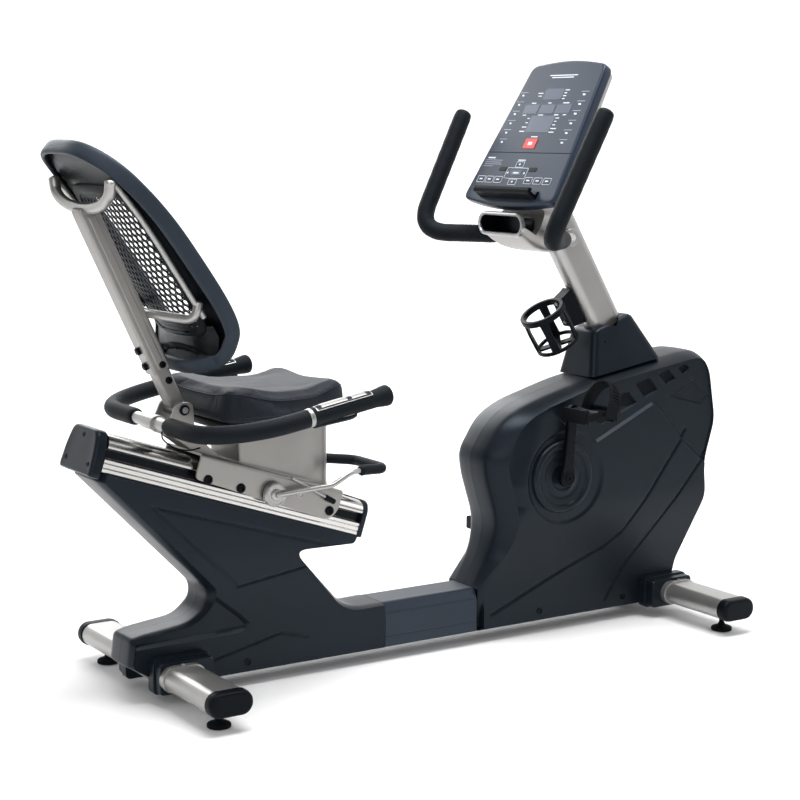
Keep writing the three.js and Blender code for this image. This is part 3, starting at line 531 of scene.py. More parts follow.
backward = Vector((math.sin(VIEW_TURN) * math.cos(VIEW_RISE), -math.cos(VIEW_TURN) * math.cos(VIEW_RISE),
                   math.sin(VIEW_RISE)))
level_right = Vector((math.cos(VIEW_TURN), math.sin(VIEW_TURN), 0))
level_up = backward.cross(level_right)
right = level_right * math.cos(VIEW_ROLL) + level_up * math.sin(VIEW_ROLL)
upward = level_up * math.cos(VIEW_ROLL) - level_right * math.sin(VIEW_ROLL)
eye = bpy.data.cameras.new("camera")
eye.lens = 83.35
eye.sensor_width = 36
eye.shift_x = 0.0042
eye.shift_y = -0.0023
eye.clip_end = 100
camera = bpy.data.objects.new("camera", eye)
camera.matrix_world = Matrix.Translation(CAMERA_AT) @ Matrix((right, upward, backward)).transposed().to_4x4()
bpy.context.scene.collection.objects.link(camera)
bpy.context.scene.camera = camera


GLOW_NEAR = 0.8
GLOW_FAR = 7.0
GLOW_MOST = 0.62
FLOOR_REACH = 60.0
FLOOR_TURN = math.radians(57)


def studio():
    """A white floor that curves up far behind the bike, a bright surround and soft lamps.

    The floor also glows, more and more along its own X. FLOOR_TURN points that X away from the main
    camera, so the background stays white in the main view and turns grey in views from behind.
    """
    bpy.context.scene.view_settings.view_transform = "Standard"
    paper = surface_look("paper", (0.93, 0.93, 0.935), 0.9, specular=0.1, grain=0.0, mottle=0.005,
                         mottle_scale=0.5)
    shader = paper.node_tree.nodes["Principled BSDF"]
    place = paper.node_tree.nodes.new("ShaderNodeTexCoord")
    axes = paper.node_tree.nodes.new("ShaderNodeSeparateXYZ")
    glow = paper.node_tree.nodes.new("ShaderNodeMapRange")
    glow.interpolation_type = "SMOOTHSTEP"
    glow.inputs["From Min"].default_value = GLOW_NEAR
    glow.inputs["From Max"].default_value = GLOW_FAR
    glow.inputs["To Max"].default_value = GLOW_MOST
    shader.inputs["Emission Color"].default_value = (1, 1, 1, 1)
    paper.node_tree.links.new(place.outputs["Object"], axes.inputs["Vector"])
    paper.node_tree.links.new(axes.outputs["X"], glow.inputs["Value"])
    paper.node_tree.links.new(glow.outputs["Result"], shader.inputs["Emission Strength"])
    points = []
    faces = []
    curve = [(9 + 5 * math.sin(a), 5 - 5 * math.cos(a)) for a in (math.radians(15 * i) for i in range(7))]
    bends = [(-FLOOR_REACH, 0.0), *curve, (14.0, 26.0)]
    for away, height in bends:
        for side in (-FLOOR_REACH, FLOOR_REACH):
            points.append((away, side, height))
    for i in range(len(bends) - 1):
        faces.append((2 * i, 2 * i + 1, 2 * i + 3, 2 * i + 2))
    mesh = bpy.data.meshes.new("floor")
    mesh.from_pydata(points, [], faces)
    floor = bpy.data.objects.new("floor", mesh)
    floor.rotation_euler = (0, 0, FLOOR_TURN)
    floor.location.z = -0.0005
    bpy.context.scene.collection.objects.link(floor)
    mesh.materials.append(paper)
    mesh.polygons.foreach_set("use_smooth", [True] * len(mesh.polygons))

    world = bpy.data.worlds.new("surround")
    bpy.context.scene.world = world
    world.use_nodes = True
    nodes = world.node_tree.nodes
    links = world.node_tree.links
    place = nodes.new("ShaderNodeTexCoord")
    parts = nodes.new("ShaderNodeSeparateXYZ")
    tones = nodes.new("ShaderNodeValToRGB")
    links.new(place.outputs["Generated"], parts.inputs["Vector"])
    links.new(parts.outputs["Z"], tones.inputs["Fac"])
    ramp = tones.color_ramp
    ramp.elements[0].position = 0.0
    ramp.elements[0].color = (1.0, 1.0, 1.0, 1)
    ramp.elements[1].position = 1.0
    ramp.elements[1].color = (1.0, 1.0, 1.0, 1)
    for position, tone in ((0.05, 0.8), (0.16, 0.34), (0.40, 0.40), (0.7, 0.95)):
        stop = ramp.elements.new(position)
        stop.color = (tone, tone, tone * 1.01, 1)
    links.new(tones.outputs["Color"], nodes["Background"].inputs["Color"])
    nodes["Background"].inputs["Strength"].default_value = 0.55

    lamps = [
        ("overhead", (0.0, -0.4, 4.2), 3.2, 2.0, 200),
        ("side", (-3.6, -3.4, 2.4), 2.6, 2.4, 45),
        ("front", (3.6, -2.6, 2.6), 1.8, 2.4, 26),
        ("behind", (0.6, 4.2, 3.0), 3.5, 2.0, 95),
    ]
    for name, at, width, height, power in lamps:
        lamp = bpy.data.lights.new(name, "AREA")
        lamp.shape = "RECTANGLE"
        lamp.size = width
        lamp.size_y = height
        lamp.energy = power
        obj = bpy.data.objects.new(name, lamp)
        obj.location = at
        obj.rotation_euler = (Vector((0, 0, 0.6)) - Vector(at)).to_track_quat("-Z", "Y").to_euler()
        bpy.context.scene.collection.objects.link(obj)


studio()

# ------------------------------------------------------------------ moulded covers

FRONT_SEAM = [
    (-211, BODY_BOTTOM, 4), (331, BODY_BOTTOM, 3), (331, 98), (412, 98, 3), (426, 135, 10), (498, 302, 20),
    (492, 396, 34), (528, 506, 26), (508, 642, 34), (480, 684, 30), (430, 684, 26), (105, 630, 40),
    (-66, 584, 60), (-140, 546, 50), (-196, 464, 34), (-190, 412, 40), (-152, 290, 60), (-168, 222, 60),
    (-211, 140, 3),
]
FRONT_FACE = [
    (-211, BODY_BOTTOM, 4), (331, BODY_BOTTOM, 3), (331, 98), (412, 98, 3), (422, 135, 10), (490, 302, 20),
    (482, 392, 34), (516, 503, 26), (494, 632, 34), (470, 667, 30), (426, 663, 26), (106, 612, 40),
    (-50, 566, 60), (-104, 534, 50), (-146, 458, 34), (-138, 412, 40), (-108, 320, 60), (-122, 230, 60),
    (-211, 140, 3),
]
REAR_SEAM = [
    (-478, 140), (-575, 140, 46), (-722, 296, 34), (-573, 296, 6), (-563.8, 316.5), (-1201.0, 527.5),
    (-1208, 509, 4), (-940, 234, 44), (-944, 194, 24), (-984, 166, 24), (-1096, 154, 14), (-1126, 146, 10),
    (-1134, 84, 6), (-1090, 60, 4), (-978, 60), (-978, BODY_BOTTOM), (-478, BODY_BOTTOM),
]
REAR_FACE = [
    (-478, 136), (-584, 132, 46), (-732, 302, 34), (-573, 300, 6), (-563.8, 316.5), (-1184.0, 523.0),
    (-1190, 504, 4), (-924, 236, 44), (-928, 200, 24), (-972, 160, 24), (-1090, 146, 14), (-1118, 138, 10),
    (-1126, 84, 6), (-1090, 60, 4), (-978, 60), (-978, BODY_BOTTOM), (-478, BODY_BOTTOM),
]


def half_width(z, half, low, high):
    """How far the side stands from the middle at a height: it leans in towards the floor."""
    return BEAM_HALF + (half - BEAM_HALF) * smooth_step((z - low) / (high - low))


def cut_along(side, outlines):
    """Cuts the flat side mesh near each recess along the top and the foot of its walls."""
    for outline, wall in outlines:
        for start, end in zip(outline, [*outline[1:], outline[0]]):
            run = (end - start).normalized()
            turned_run = Vector((-run.y, run.x))
            if inside((start + end) / 2 + turned_run, outline) < 0:
                turned_run = -turned_run
            low = Vector((min(start.x, end.x) - 9, 0, min(start.y, end.y) - 9))
            high = Vector((max(start.x, end.x) + 9, 0, max(start.y, end.y) + 9))
            for inset in (0, wall):
                at = start + turned_run * inset
                near = []
                for patch in side.faces:
                    middle = patch.calc_center_median()
                    if low.x < middle.x < high.x and low.z < middle.z < high.z:
                        near.append(patch)
                parts = {*near, *(edge for patch in near for edge in patch.edges),
                         *(vert for patch in near for vert in patch.verts)}
                bmesh.ops.bisect_plane(side, geom=list(parts), dist=0.05, plane_co=(at.x, 0, at.y),
                                       plane_no=(turned_run.x, 0, turned_run.y))


def ramp(value, width):
    return min(1.0, max(0.0, value / width))


def moulded_half(name, seam, face, half, lean, crown, depth, cell, stands_for, mirror, holes=(), recesses=()):
    """Half of a hollow moulded cover: a crowned band from the seam, then a side face with its relief.

    crown lists (share of the half width, share of the way from seam to face); depth(x, z) is how far the
    side face lies below its plane.
    """
    seam_curve = corner_curve(seam)
    face_curve = corner_curve(face)
    shape = bmesh.new()
    rings = []
    for share, part in crown:
        ring = []
        for a, b in zip(seam_curve, face_curve):
            p = a.lerp(b, part)
            y = half_width(p.y, half, *lean) * share
            if part >= 0.99:
                y -= depth(p.x, p.y)
            ring.append(shape.verts.new((p.x, -y, p.y)))
        rings.append(ring)
    for low_ring, high_ring in zip(rings, rings[1:]):
        count = len(low_ring)
        for i in range(count):
            j = (i + 1) % count
            shape.faces.new((low_ring[i], low_ring[j], high_ring[j], high_ring[i]))
    side = bmesh.new()
    corners = [side.verts.new((p.x, 0, p.y)) for p in face_curve]
    side.faces.new(corners)
    for axis, low, high in ((0, -1240, 560), (2, 30, 700)):
        place = low
        while place < high:
            point = [0, 0, 0]
            normal = [0, 0, 0]
            point[axis] = place
            normal[axis] = 1
            bmesh.ops.bisect_plane(side, geom=side.verts[:] + side.edges[:] + side.faces[:],
                                   dist=0.02, plane_co=point, plane_no=normal)
            place += cell
    cut_along(side, recesses)
    made = {}
    for vert in side.verts:
        x, z = vert.co.x, vert.co.z
        y = half_width(z, half, *lean) - depth(x, z)
        made[vert] = shape.verts.new((x, -y, z))
    for patch in side.faces:
        shape.faces.new([made[vert] for vert in patch.verts])
    bmesh.ops.remove_doubles(shape, verts=shape.verts, dist=0.05)
    points = [tuple(vert.co) for vert in shape.verts]
    shape.verts.index_update()
    faces = [[vert.index for vert in patch.verts] for patch in shape.faces]
    shape.free()
    side.free()
    if mirror:
        points = mirrored_points(points)
    obj = piece(name, points, faces, NAVY, None, sharp=40)
    obj.modifiers.clear()
    for tool in holes:
        tool.modifiers.clear()
    if holes:
        carve(obj, *holes, sharp=40)
        obj.modifiers.clear()
    # painted shade: the floors of the square recesses take the black material, darkened as if shade fell in
    # them
    if recesses:
        obj.data.materials.append(BLACK)
        for patch in obj.data.polygons:
            middle = patch.center
            flat = Vector(((middle.x - ORIGIN_X) * 1000, middle.z * 1000))
            on_side = abs(patch.normal.y) > 0.9 and flat.y > 560
            if on_side and any(inside(flat, square) > 2 for square in SQUARES):
                patch.material_index = 1
    on_body(obj, "frame", stands_for)
    return obj


def flat_points(pairs):
    return [Vector(pair) for pair in pairs]


LEDGE = flat_points([(-46, 590), (20, 530), (64, 501), (107, 479), (124, 475), (307, 558), (328, 548),
                     (394, 469), (430, 436), (520, 360)])
LEDGE_AREA = [*LEDGE, *flat_points([(700, 360), (700, 800), (-46, 800)])]
SQUARES = [flat_points(square) for square in (
    [(189, 586), (207, 542), (258, 565), (228, 596)], [(250, 614), (282, 574), (327, 592), (298, 626)],
    [(326, 632), (355, 603), (386, 617), (360, 642)], [(389, 645), (411, 626), (435, 641), (413, 654)],
)]
ARROW = flat_points([(359, 573), (478, 542), (496, 565), (443, 613)])
GROOVE_LOW = flat_points([(-171, 66), (68, 162), (176, 202), (223, 235), (421, 484)])
GROOVE_FRONT = flat_points([(189, 59), (249, 139), (365, 280), (498, 428)])
NOSE_CREASE = flat_points([(-30, 600), (-66, 461), (-90, 385), (-79, 332), (-117, 278), (-128, 236),
                           (-190, 120)])
CRESCENT = (CRANK_X + 10, CRANK_Z - 3)


def front_relief(x, z):
    """Depth of the mouldings on the front housing's side, in millimetres."""
    p = Vector((x, z))
    depth = 7 * ramp(inside(p, LEDGE_AREA), 6) if z > 350 else 0.0
    if z > 535:
        for square in SQUARES:
            depth += 6.5 * ramp(inside(p, square), 4)
        depth += 4.5 * ramp(inside(p, ARROW), 4)
    for line, reach in ((GROOVE_LOW, 5.5), (GROOVE_FRONT, 5.0)):
        depth += 3.6 * (1 - smooth_step(nearest_on_line(p, line) / reach))
    if x < 20:
        crease = nearest_on_line(p, NOSE_CREASE)
        left = x < crease_x(z)
        if left:
            depth += 16 * smooth_step(crease / 62)
    away = math.hypot(x - CRESCENT[0], z - CRESCENT[1])
    if away < 122:
        depth += 4.5 * smooth_step((118 - away) / 6)
    return depth


def crease_x(z):
    for low, high in zip(NOSE_CREASE, NOSE_CREASE[1:]):
        if high.y <= z <= low.y:
            return low.x + (high.x - low.x) * (z - low.y) / (high.y - low.y)
    return NOSE_CREASE[0].x if z > NOSE_CREASE[0].y else NOSE_CREASE[-1].x


REAR_LINE = flat_points([(-1080, 441), (-620, 300), (-700, 262), (-874, 236), (-1080, 441)])
REAR_LOW = flat_points([(-930, 74), (-760, 112), (-690, 92)])
SCOOP = flat_points([(-1150, 124), (-868, 127), (-845, 133), (-838, 146), (-862, 170), (-933, 226),
                     (-985, 268),
                     (-1150, 330)])


def rear_relief(x, z):
    """Depth of the thin lines and of the scoop above the foot on the rear body's side."""
    p = Vector((x, z))
    scoop = 9 * ramp(inside(p, SCOOP), 9) if x < -830 and z < 340 else 0.0
    return scoop + 2.8 * (1 - smooth_step(nearest_on_line(p, REAR_LINE) / 5)) + 2.4 * (
        1 - smooth_step(nearest_on_line(p, REAR_LOW) / 4))


CROWN = [(0.003, 0.0), (0.2, 0.015), (0.42, 0.05), (0.52, 0.085), (0.57, 0.125), (0.62, 0.19), (0.78, 0.46),
         (0.91, 0.76), (0.95, 0.865), (0.98, 0.95), (1.0, 1.0)]
NARROW_CROWN = [(0.004, 0.0), (0.3, 0.02), (0.56, 0.06), (0.66, 0.11), (0.72, 0.19), (0.82, 0.42),
                (0.93, 0.74),
                (0.97, 0.89), (1.0, 1.0)]


def cover_cutters(sign):
    """Cutters for the openings of a front half: a round one for the axle and a box for the mast's foot."""
    axle = turned("cut_axle", [(31, -120), (31, 10)] if sign < 0 else [(31, -10), (31, 120)], BLACK,
                  centre=(CRANK_X, 0, CRANK_Z), axis="y")
    mast = prism("cut_mast", [(-56, -34), (56, -34), (56, 34), (-56, 34)], "flat", 20, 180, BLACK, at=MAST)
    return [axle, mast]


CELL = 3.5
for side, sign in (("right", -1), ("left", 1)):
    moulded_half(f"front_housing_{side}", FRONT_SEAM, FRONT_FACE, FRONT_HALF, (110, 340), CROWN, front_relief,
                 CELL, [f"front_cover_{side}"], sign > 0, cover_cutters(sign),
                 [(LEDGE_AREA, 6), *((square, 4) for square in SQUARES), (ARROW, 4), (GROOVE_LOW, 5.5),
                  (GROOVE_LOW, -5.5), (GROOVE_FRONT, 5), (GROOVE_FRONT, -5)])
    moulded_half(f"rear_body_{side}", REAR_SEAM, REAR_FACE, REAR_HALF, (140, 330), NARROW_CROWN, rear_relief,
                 CELL * 1.5, [f"rear_cover_{side}"], sign > 0, (), [(REAR_LINE[:-1], 5), (REAR_LINE[:-1], -5),
                                                                     (REAR_LOW, 5), (REAR_LOW, -5),
                                                                     (SCOOP, 9)])

# ------------------------------------------------------------------ floor frame


def stabiliser(prefix, x):
    """An oval painted tube with fitted end caps and levelling feet; saddle() adds the cuff where it is bolted
    on.
    """
    tube_path = [Vector((x, y, BAR_Z)) for y in (-317, -200, -60, 60, 200, 317)]
    oval = stadium(100, 52, 14)
    tube(f"{prefix}_stabiliser_tube", tube_path, 1.0, SILVER, "frame", section=oval, ends="open",
         stands_for=[f"{prefix}_stabiliser"], slot="silver_paint")
    for side, sign in (("right", -1), ("left", 1)):
        rings = []
        for y, size in ((315.5, 1.0), (316.2, 1.03), (318, 1.05), (332, 1.05), (339, 1.02), (342.4, 0.965),
                        (343.9, 0.88), (344, 0.72)):
            ring = [(x + a * (size if size < 1 else 1) + math.copysign(50 * max(0, size - 1), a), y * sign,
                     BAR_Z + b * (size if size < 1 else size)) for a, b in stadium(100, 52, 14)]
            rings.append(ring)
        loft(f"{prefix}_bar_cap_{side}", rings, BLACK, "frame", sharp=40,
             stands_for=[f"{prefix}_stabiliser_cap_{side}"], slot="black_plastic")
        foot = [(0.5, 0), (24, 0), (26, 1.5), (26, 7), (24.5, 9), (19, 11.5), (11, 13), (9, 14), (9, 18),
                (6.5, 18.5)]
        foot += [(6.0 + 0.9 * (i % 2), 19 + i * 1.1) for i in range(16)]
        foot.append((5, 37))
        turned(f"{prefix}_foot_{side}", foot, RUBBER, f"foot_{prefix}_{side}", centre=(x, sign * 281, 0),
               sides=32,
               stands_for=[f"{prefix}_levelling_foot_{side}"], slot="rubber", sharp=25)


stabiliser("rear", REAR_BAR_X)
stabiliser("front", FRONT_BAR_X)


def saddle(prefix, x, shift):
    """The stepped cuff where the stabiliser leaves the covers, then a silver collar with its bolt."""
    for side, sign in (("right", -1), ("left", 1)):
        for i, (wide, tall, bend, low, high) in enumerate(((70, 40, 15, 59, 84), (65, 36, 11, 83.5, 108.6))):
            rings = []
            for y, shrink in ((low, 0), (high - 3.5, 0), (high - 1, 0.8), (high, 3)):
                a, b = wide - shrink, tall - shrink
                shape = corner_curve([(-a, -b, bend), (a, -b, bend), (a, b, bend), (-a, b, bend)], 8)
                rings.append([(x + shift + p.x, sign * y, BAR_Z + p.y) for p in shape])
            loft(f"{prefix}_cuff_{i}_{side}", rings, NAVY, "frame", sharp=40)
        rings = []
        for y, shrink in ((107, 0), (121.5, 0), (123.4, 0.6), (124, 2)):
            shape = stadium(107 - 2 * shrink, 59 - 2 * shrink, 14)
            rings.append([(x + a, sign * y, BAR_Z + b) for a, b in shape])
        loft(f"{prefix}_collar_{side}", rings, SILVER, "frame", sharp=40)
        bolt(f"{prefix}_collar_bolt_{side}", (x, sign * 115, BAR_Z + 29), STEEL, "frame", radius=5.5,
             height=4, side=1,
             axis="z")


saddle("rear", REAR_BAR_X, 13)
saddle("front", FRONT_BAR_X, -15)


def beam_cover():
    """The cover over the floor beam: bevelled upper edges, a brushed top and a sill line on each side."""
    section = [(-61, BODY_BOTTOM, 2), (61, BODY_BOTTOM, 2), (61, 58, 1), (60.2, 59.5, 0.5),
               (60.2, 61.5, 0.5), (61, 63, 1),
               (61, 116, 3), (58, 121, 4), (47, 138, 6), (42, 140, 4), (-42, 140, 4), (-47, 138, 6),
               (-58, 121, 4),
               (-61, 116, 3), (-61, 63, 1), (-60.2, 61.5, 0.5), (-60.2, 59.5, 0.5), (-61, 58, 1)]
    shape = corner_curve(section, 4)
    rings = []
    for x, shrink in ((-476.8, 0.985), (-476.0, 1.0), (-213.0, 1.0), (-212.2, 0.985)):
        rings.append([(x, p.x * shrink, 87 + (p.y - 87) * shrink) for p in shape])
    loft("beam_top_cover", rings, BEAM, "frame", stands_for=["beam_cover"], slot="beam_plastic", sharp=24)


beam_cover()

for name, x, z in (("rear_screw", -845, 56), ("front_screw_rear", -20, 57), ("front_screw_front", 248, 57)):
    for side, sign in (("right", -1), ("left", 1)):
        screw = [(8.5, 0), (8.5, 1.2), (7.6, 1.8), (5.2, 0.6), (4.4, -1.5), (0.5, -1.6)]
        turned(f"{name}_{side}", [(radius, sign * out) for radius, out in screw], GLOSS_BLACK, "frame",
               centre=(x, sign * (BEAM_HALF + 0.2), z), axis="y", sides=28)


def mast_cover():
    """The tapered block around the mast's foot, with rounded corners and two screw holes."""
    levels = [(0.0, 0.0), (0.04, 0.0), (0.93, 0.0), (0.975, 2.5), (0.995, 7.0), (1.0, 13.0)]
    rings = []
    for up, shrink in levels:
        rear = 128 + (150 - 128) * up
        front = 352 + (268 - 352) * up
        half = 72 + (49 - 72) * up
        corner = 20 - 4 * up
        shape = corner_curve([(rear + shrink, -half + shrink, corner),
                              (front - shrink, -half + shrink, corner),
                              (front - shrink, half - shrink, corner),
                              (rear + shrink, half - shrink, corner)])
        ring = []
        for p in shape:
            base = 630.8 + (p.x - 105) * 0.1662 + 0.6
            top = 748 + (p.x - 150) * 0.345
            ring.append((p.x, p.y, base + (top - base) * up))
        rings.append(ring)
    block = loft("mast_foot_cover", rings, NAVY, None, sharp=36)
    hole = tube("cut_mast", [Vector((0, 0, 90)), Vector((0, 0, 340))], 1.0, BLACK,
                section=[(a, b) for a, b in stadium(56, 103, 14)], at=MAST, ends="open")
    pits = [turned(f"cut_pit_{sign}", [(4.5, -6), (4.5, 6)], BLACK, centre=(176, sign * 60, 722), axis="y",
                   sides=20)
            for sign in (-1, 1)]
    carve(block, hole, *pits, sharp=36)
    on_body(block, "frame", ["mast_cover"])


mast_cover()

# ------------------------------------------------------------------ crank and pedals


def crank_trim(side, sign):
    """The round dish about the axle: a raised rim, a shallow step and a hub ring."""
    profile = [(31, 1.0), (33, -2.5), (36, -3.4), (40, -3.0), (43, -0.6), (52, -0.2), (55, -1.6), (58, -2.0),
               (70, -2.4), (73, -6.4), (76, -8.6), (83, -9.0), (87, -7.2), (90, -3.0), (91, 0.0), (91, 3.0)]
    points = [(r, sign * (-y - 1 + FRONT_HALF)) if sign > 0 else (r, y + 1 - FRONT_HALF) for r, y in profile]
    turned(f"crank_dish_{side}", points, NAVY, "frame", centre=(CRANK_X, 0, CRANK_Z), axis="y", sides=72,
           stands_for=[f"crank_trim_{side}"], slot="navy_plastic", sharp=50)


def pedal_place(side):
    lean = CRANK_LENGTH if side == "right" else -CRANK_LENGTH
    return Vector((CRANK_X + math.sin(CRANK_ANGLE) * lean, 0, CRANK_Z + math.cos(CRANK_ANGLE) * lean))


def crank_arm(side, sign):
    """A forged arm, wide at the axle and waisted in the middle, with its cap and bolt."""
    end = pedal_place(side)
    start = Vector((CRANK_X, 0, CRANK_Z))
    run = (end - start)
    length = run.length
    run.normalize()
    across = Vector((run.z, 0, -run.x))
    stations = [(-21, 10), (-18, 16), (-10, 20.5), (0, 22), (14, 20.5), (34, 16.5), (80, 14.5), (125, 14),
                (length - 12, 15.5), (length, 16.5), (length + 9, 14), (length + 14, 9.5), (length + 16.5, 4)]
    rings = []
    for along, half in stations:
        inner = 108.6 + 0.5 * (along < 20)
        outer = 121.6
        soft = min(4.2, half * 0.6)
        section = corner_curve([(-half, inner, 2), (half, inner, 2), (half, outer, soft),
                                (-half, outer, soft)], 4)
        place = start + run * along
        rings.append([tuple(place + across * p.x + Vector((0, sign * p.y, 0))) for p in section])
    loft(f"crank_lever_{side}", rings, GLOSS_BLACK, "crank", stands_for=[f"crank_arm_{side}"], sharp=45,
         slot="black_plastic")
    hub = [(20, 104.4), (20.5, 108), (20.5, 120.6), (19, 122.6), (15.5, 123.8), (15, 122.2), (9, 122.2),
           (8.4, 124.6),
           (4.6, 124.6), (4.4, 121), (0.5, 121)]
    turned(f"crank_hub_{side}", [(r, sign * y) for r, y in hub], BLACK, "crank",
           centre=(CRANK_X, 0, CRANK_Z), axis="y")
    spindle = [(8.5, 121), (9.5, 122.4), (9.5, 126), (7.6, 127.5), (6.2, 131), (6.2, 219), (4, 220.4),
               (0.5, 220.4)]
    turned(f"pedal_spindle_{side}", [(r, sign * y) for r, y in spindle], STEEL, "crank", centre=tuple(end),
           axis="y")


def pedal(side, sign):
    """A resin pedal: a core, two toothed treads, ribs across and an end cap."""
    end = pedal_place(side)
    body = f"pedal_{side}"
    middle = 180

    def at(x, y, z):
        return (end.x + x, sign * (middle + y), end.z + z)

    core = [(8, -45.6), (14.5, -45.6), (16, -42), (13.5, -30), (12, 0), (13.5, 30), (16, 42), (14.5, 45.6),
            (8, 45.6)]
    turned(f"pedal_core_{side}", [(r, sign * (middle + y)) for r, y in core], BLACK, body,
           centre=(end.x, 0, end.z), axis="y", stands_for=[f"pedal_{side}"], slot="black_plastic")
    for tread, x in (("front", 44), ("rear", -44)):
        teeth = []
        outline_points = [(-43, -13), (-41, -15), (41, -15), (43, -13)]
        for i in range(9):
            centre = 38 - i * 9.5
            teeth += [(centre + 3.4, 13), (centre + 2.4, 16.4), (centre - 2.4, 16.4), (centre - 3.4, 13)]
        outline_points += [(43, 12), *teeth, (-43, 12)]
        rings = []
        for grow, shift in ((-1.2, -4.2), (0, -3.2), (0, 3.2), (-1.2, 4.2)):
            rings.append([at(x + shift, y + math.copysign(grow, y), z + math.copysign(grow, z) * 0.6)
                          for y, z in outline_points])
        loft(f"pedal_tread_{tread}_{side}", rings, BLACK, body, sharp=28)
    for i, y in enumerate((-41, 0, 41)):
        rib = corner_curve([(-45, -9, 3), (45, -9, 3), (45, 9, 3), (16, 11, 4), (-16, 11, 4), (-45, 9, 3)], 4)
        rings = [[at(p.x * s, y + d, p.y * s) for p in rib] for d,
                 s in ((-4, 0.97), (-3.2, 1), (3.2, 1), (4, 0.97))]
        loft(f"pedal_rib_{i}_{side}", rings, BLACK, body)
    cap = [(16.5, 45.2), (17, 46.4), (15.5, 47.6), (9, 48.3), (0.5, 48.4)]
    turned(f"pedal_cap_{side}", [(r, sign * (middle + y - 2.6)) for r, y in cap], GLOSS_BLACK, body,
           centre=(end.x, 0, end.z), axis="y")


def pedal_strap(side, sign):
    """A rubber strap over the toes, with a row of slots in its far half."""
    end = pedal_place(side)
    lean = Matrix.Rotation(0.42, 3, "Y")
    count = 44
    wide = 5
    points = []
    faces = []
    thickness = 3.4
    for layer in (0, 1):
        for i in range(count + 1):
            angle = math.pi * (1 - i / count)
            radius_y = 46.6 + layer * thickness
            radius_z = 58.4 + layer * thickness
            height = max(0.0, math.sin(angle))
            y = radius_y * math.cos(angle)
            z = 30 + radius_z * height
            if i in (0, count):
                z = 4
            for j in range(wide + 1):
                x = 6 + 34 * j / wide
                bend = 1.5 * math.cos(math.pi * (j / wide - 0.5)) * layer
                local = lean @ Vector((x, 0, z + bend))
                points.append((end.x + local.x, sign * (180 + y), end.z + local.z))
    width = wide + 1
    size = (count + 1) * width

    def slot(i, j):
        return 20 <= i <= 40 and i % 2 == 0 and j in (1, 2, 3)

    def index(layer, i, j):
        return layer * size + i * width + j

    for i in range(count):
        for j in range(wide):
            if slot(i, j):
                for (a, b), (c, d), open_edge in (((0, 0), (1, 0), not slot(i, j - 1)),
                                                  ((0, 1), (1, 1), not slot(i, j + 1)),
                                                  ((0, 0), (0, 1), True), ((1, 0), (1, 1), True)):
                    if open_edge:
                        faces.append((index(0, i + a, j + b), index(0, i + c, j + d),
                                      index(1, i + c, j + d), index(1, i + a, j + b)))
                continue
            faces.append((index(0, i, j), index(0, i + 1, j), index(0, i + 1, j + 1), index(0, i, j + 1)))
            faces.append((index(1, i, j), index(1, i, j + 1), index(1, i + 1, j + 1), index(1, i + 1, j)))
    for i in range(count):
        for j in (0, wide):
            faces.append((index(0, i, j), index(0, i + 1, j), index(1, i + 1, j), index(1, i, j)))
    for i in (0, count):
        for j in range(wide):
            faces.append((index(0, i, j), index(0, i, j + 1), index(1, i, j + 1), index(1, i, j)))
    piece(f"toe_strap_{side}", points, faces, RUBBER, f"pedal_{side}", stands_for=[f"pedal_strap_{side}"],
          slot="rubber", sharp=35)


for side, sign in (("right", -1), ("left", 1)):
    crank_trim(side, sign)
    crank_arm(side, sign)
    pedal(side, sign)
    pedal_strap(side, sign)

for node, look in (("crank_axle", STEEL), ("drive_pulley", BLACK), ("flywheel", STEEL),
                   ("drive_belt", RUBBER),
                   ("main_frame", STEEL)):
    frame["nodes"][node].data.materials.clear()
    frame["nodes"][node].data.materials.append(look)

# ------------------------------------------------------------------ seat rail


def seat_rail():
    """The extruded rail: rounded shoulders, a channel on each side lined with a gloss black strip as painted
    shade, and thin lower bands.
    """
    half = [(72, 0, 1.5), (72, 8, 1), (70.6, 9.4, 0.6), (72, 10.8, 1), (72, 19, 1), (70.6, 20.4, 0.6),
            (72, 21.8, 1),
            (72, 28, 1.2), (60.5, 29.5, 1.5), (60.5, 50.5, 1.5), (72, 52, 1.2), (72, 58, 4), (69, 66, 6),
            (62, 75, 8),
            (48, 80, 8), (20, 80, 1), (18, 79, 0.6)]
    section = corner_curve([*half, *[(-y, z, r) for y, z, r in reversed(half)]], 5)
    section = [Vector((p.x, p.y)) for p in section]
    rings = [[(x, p.x, p.y) for p in section] for x in (0.0, 668.0)]
    loft("rail_extrusion", rings, EXTRUDED, "frame", at=RAIL, stands_for=["seat_rail"], slot="chrome",
         sharp=24)
    for side, sign in (("right", -1), ("left", 1)):
        # painted shade: a gloss black strip on the channel floor darkens the groove
        strip = prism(f"rail_channel_shade_{side}",
                      [(sign * 60.9, 31), (sign * 62.2, 31), (sign * 62.2, 49), (sign * 60.9, 49)],
                      "cross", 0.5, 667.5, GLOSS_BLACK, "frame", at=RAIL)


seat_rail()


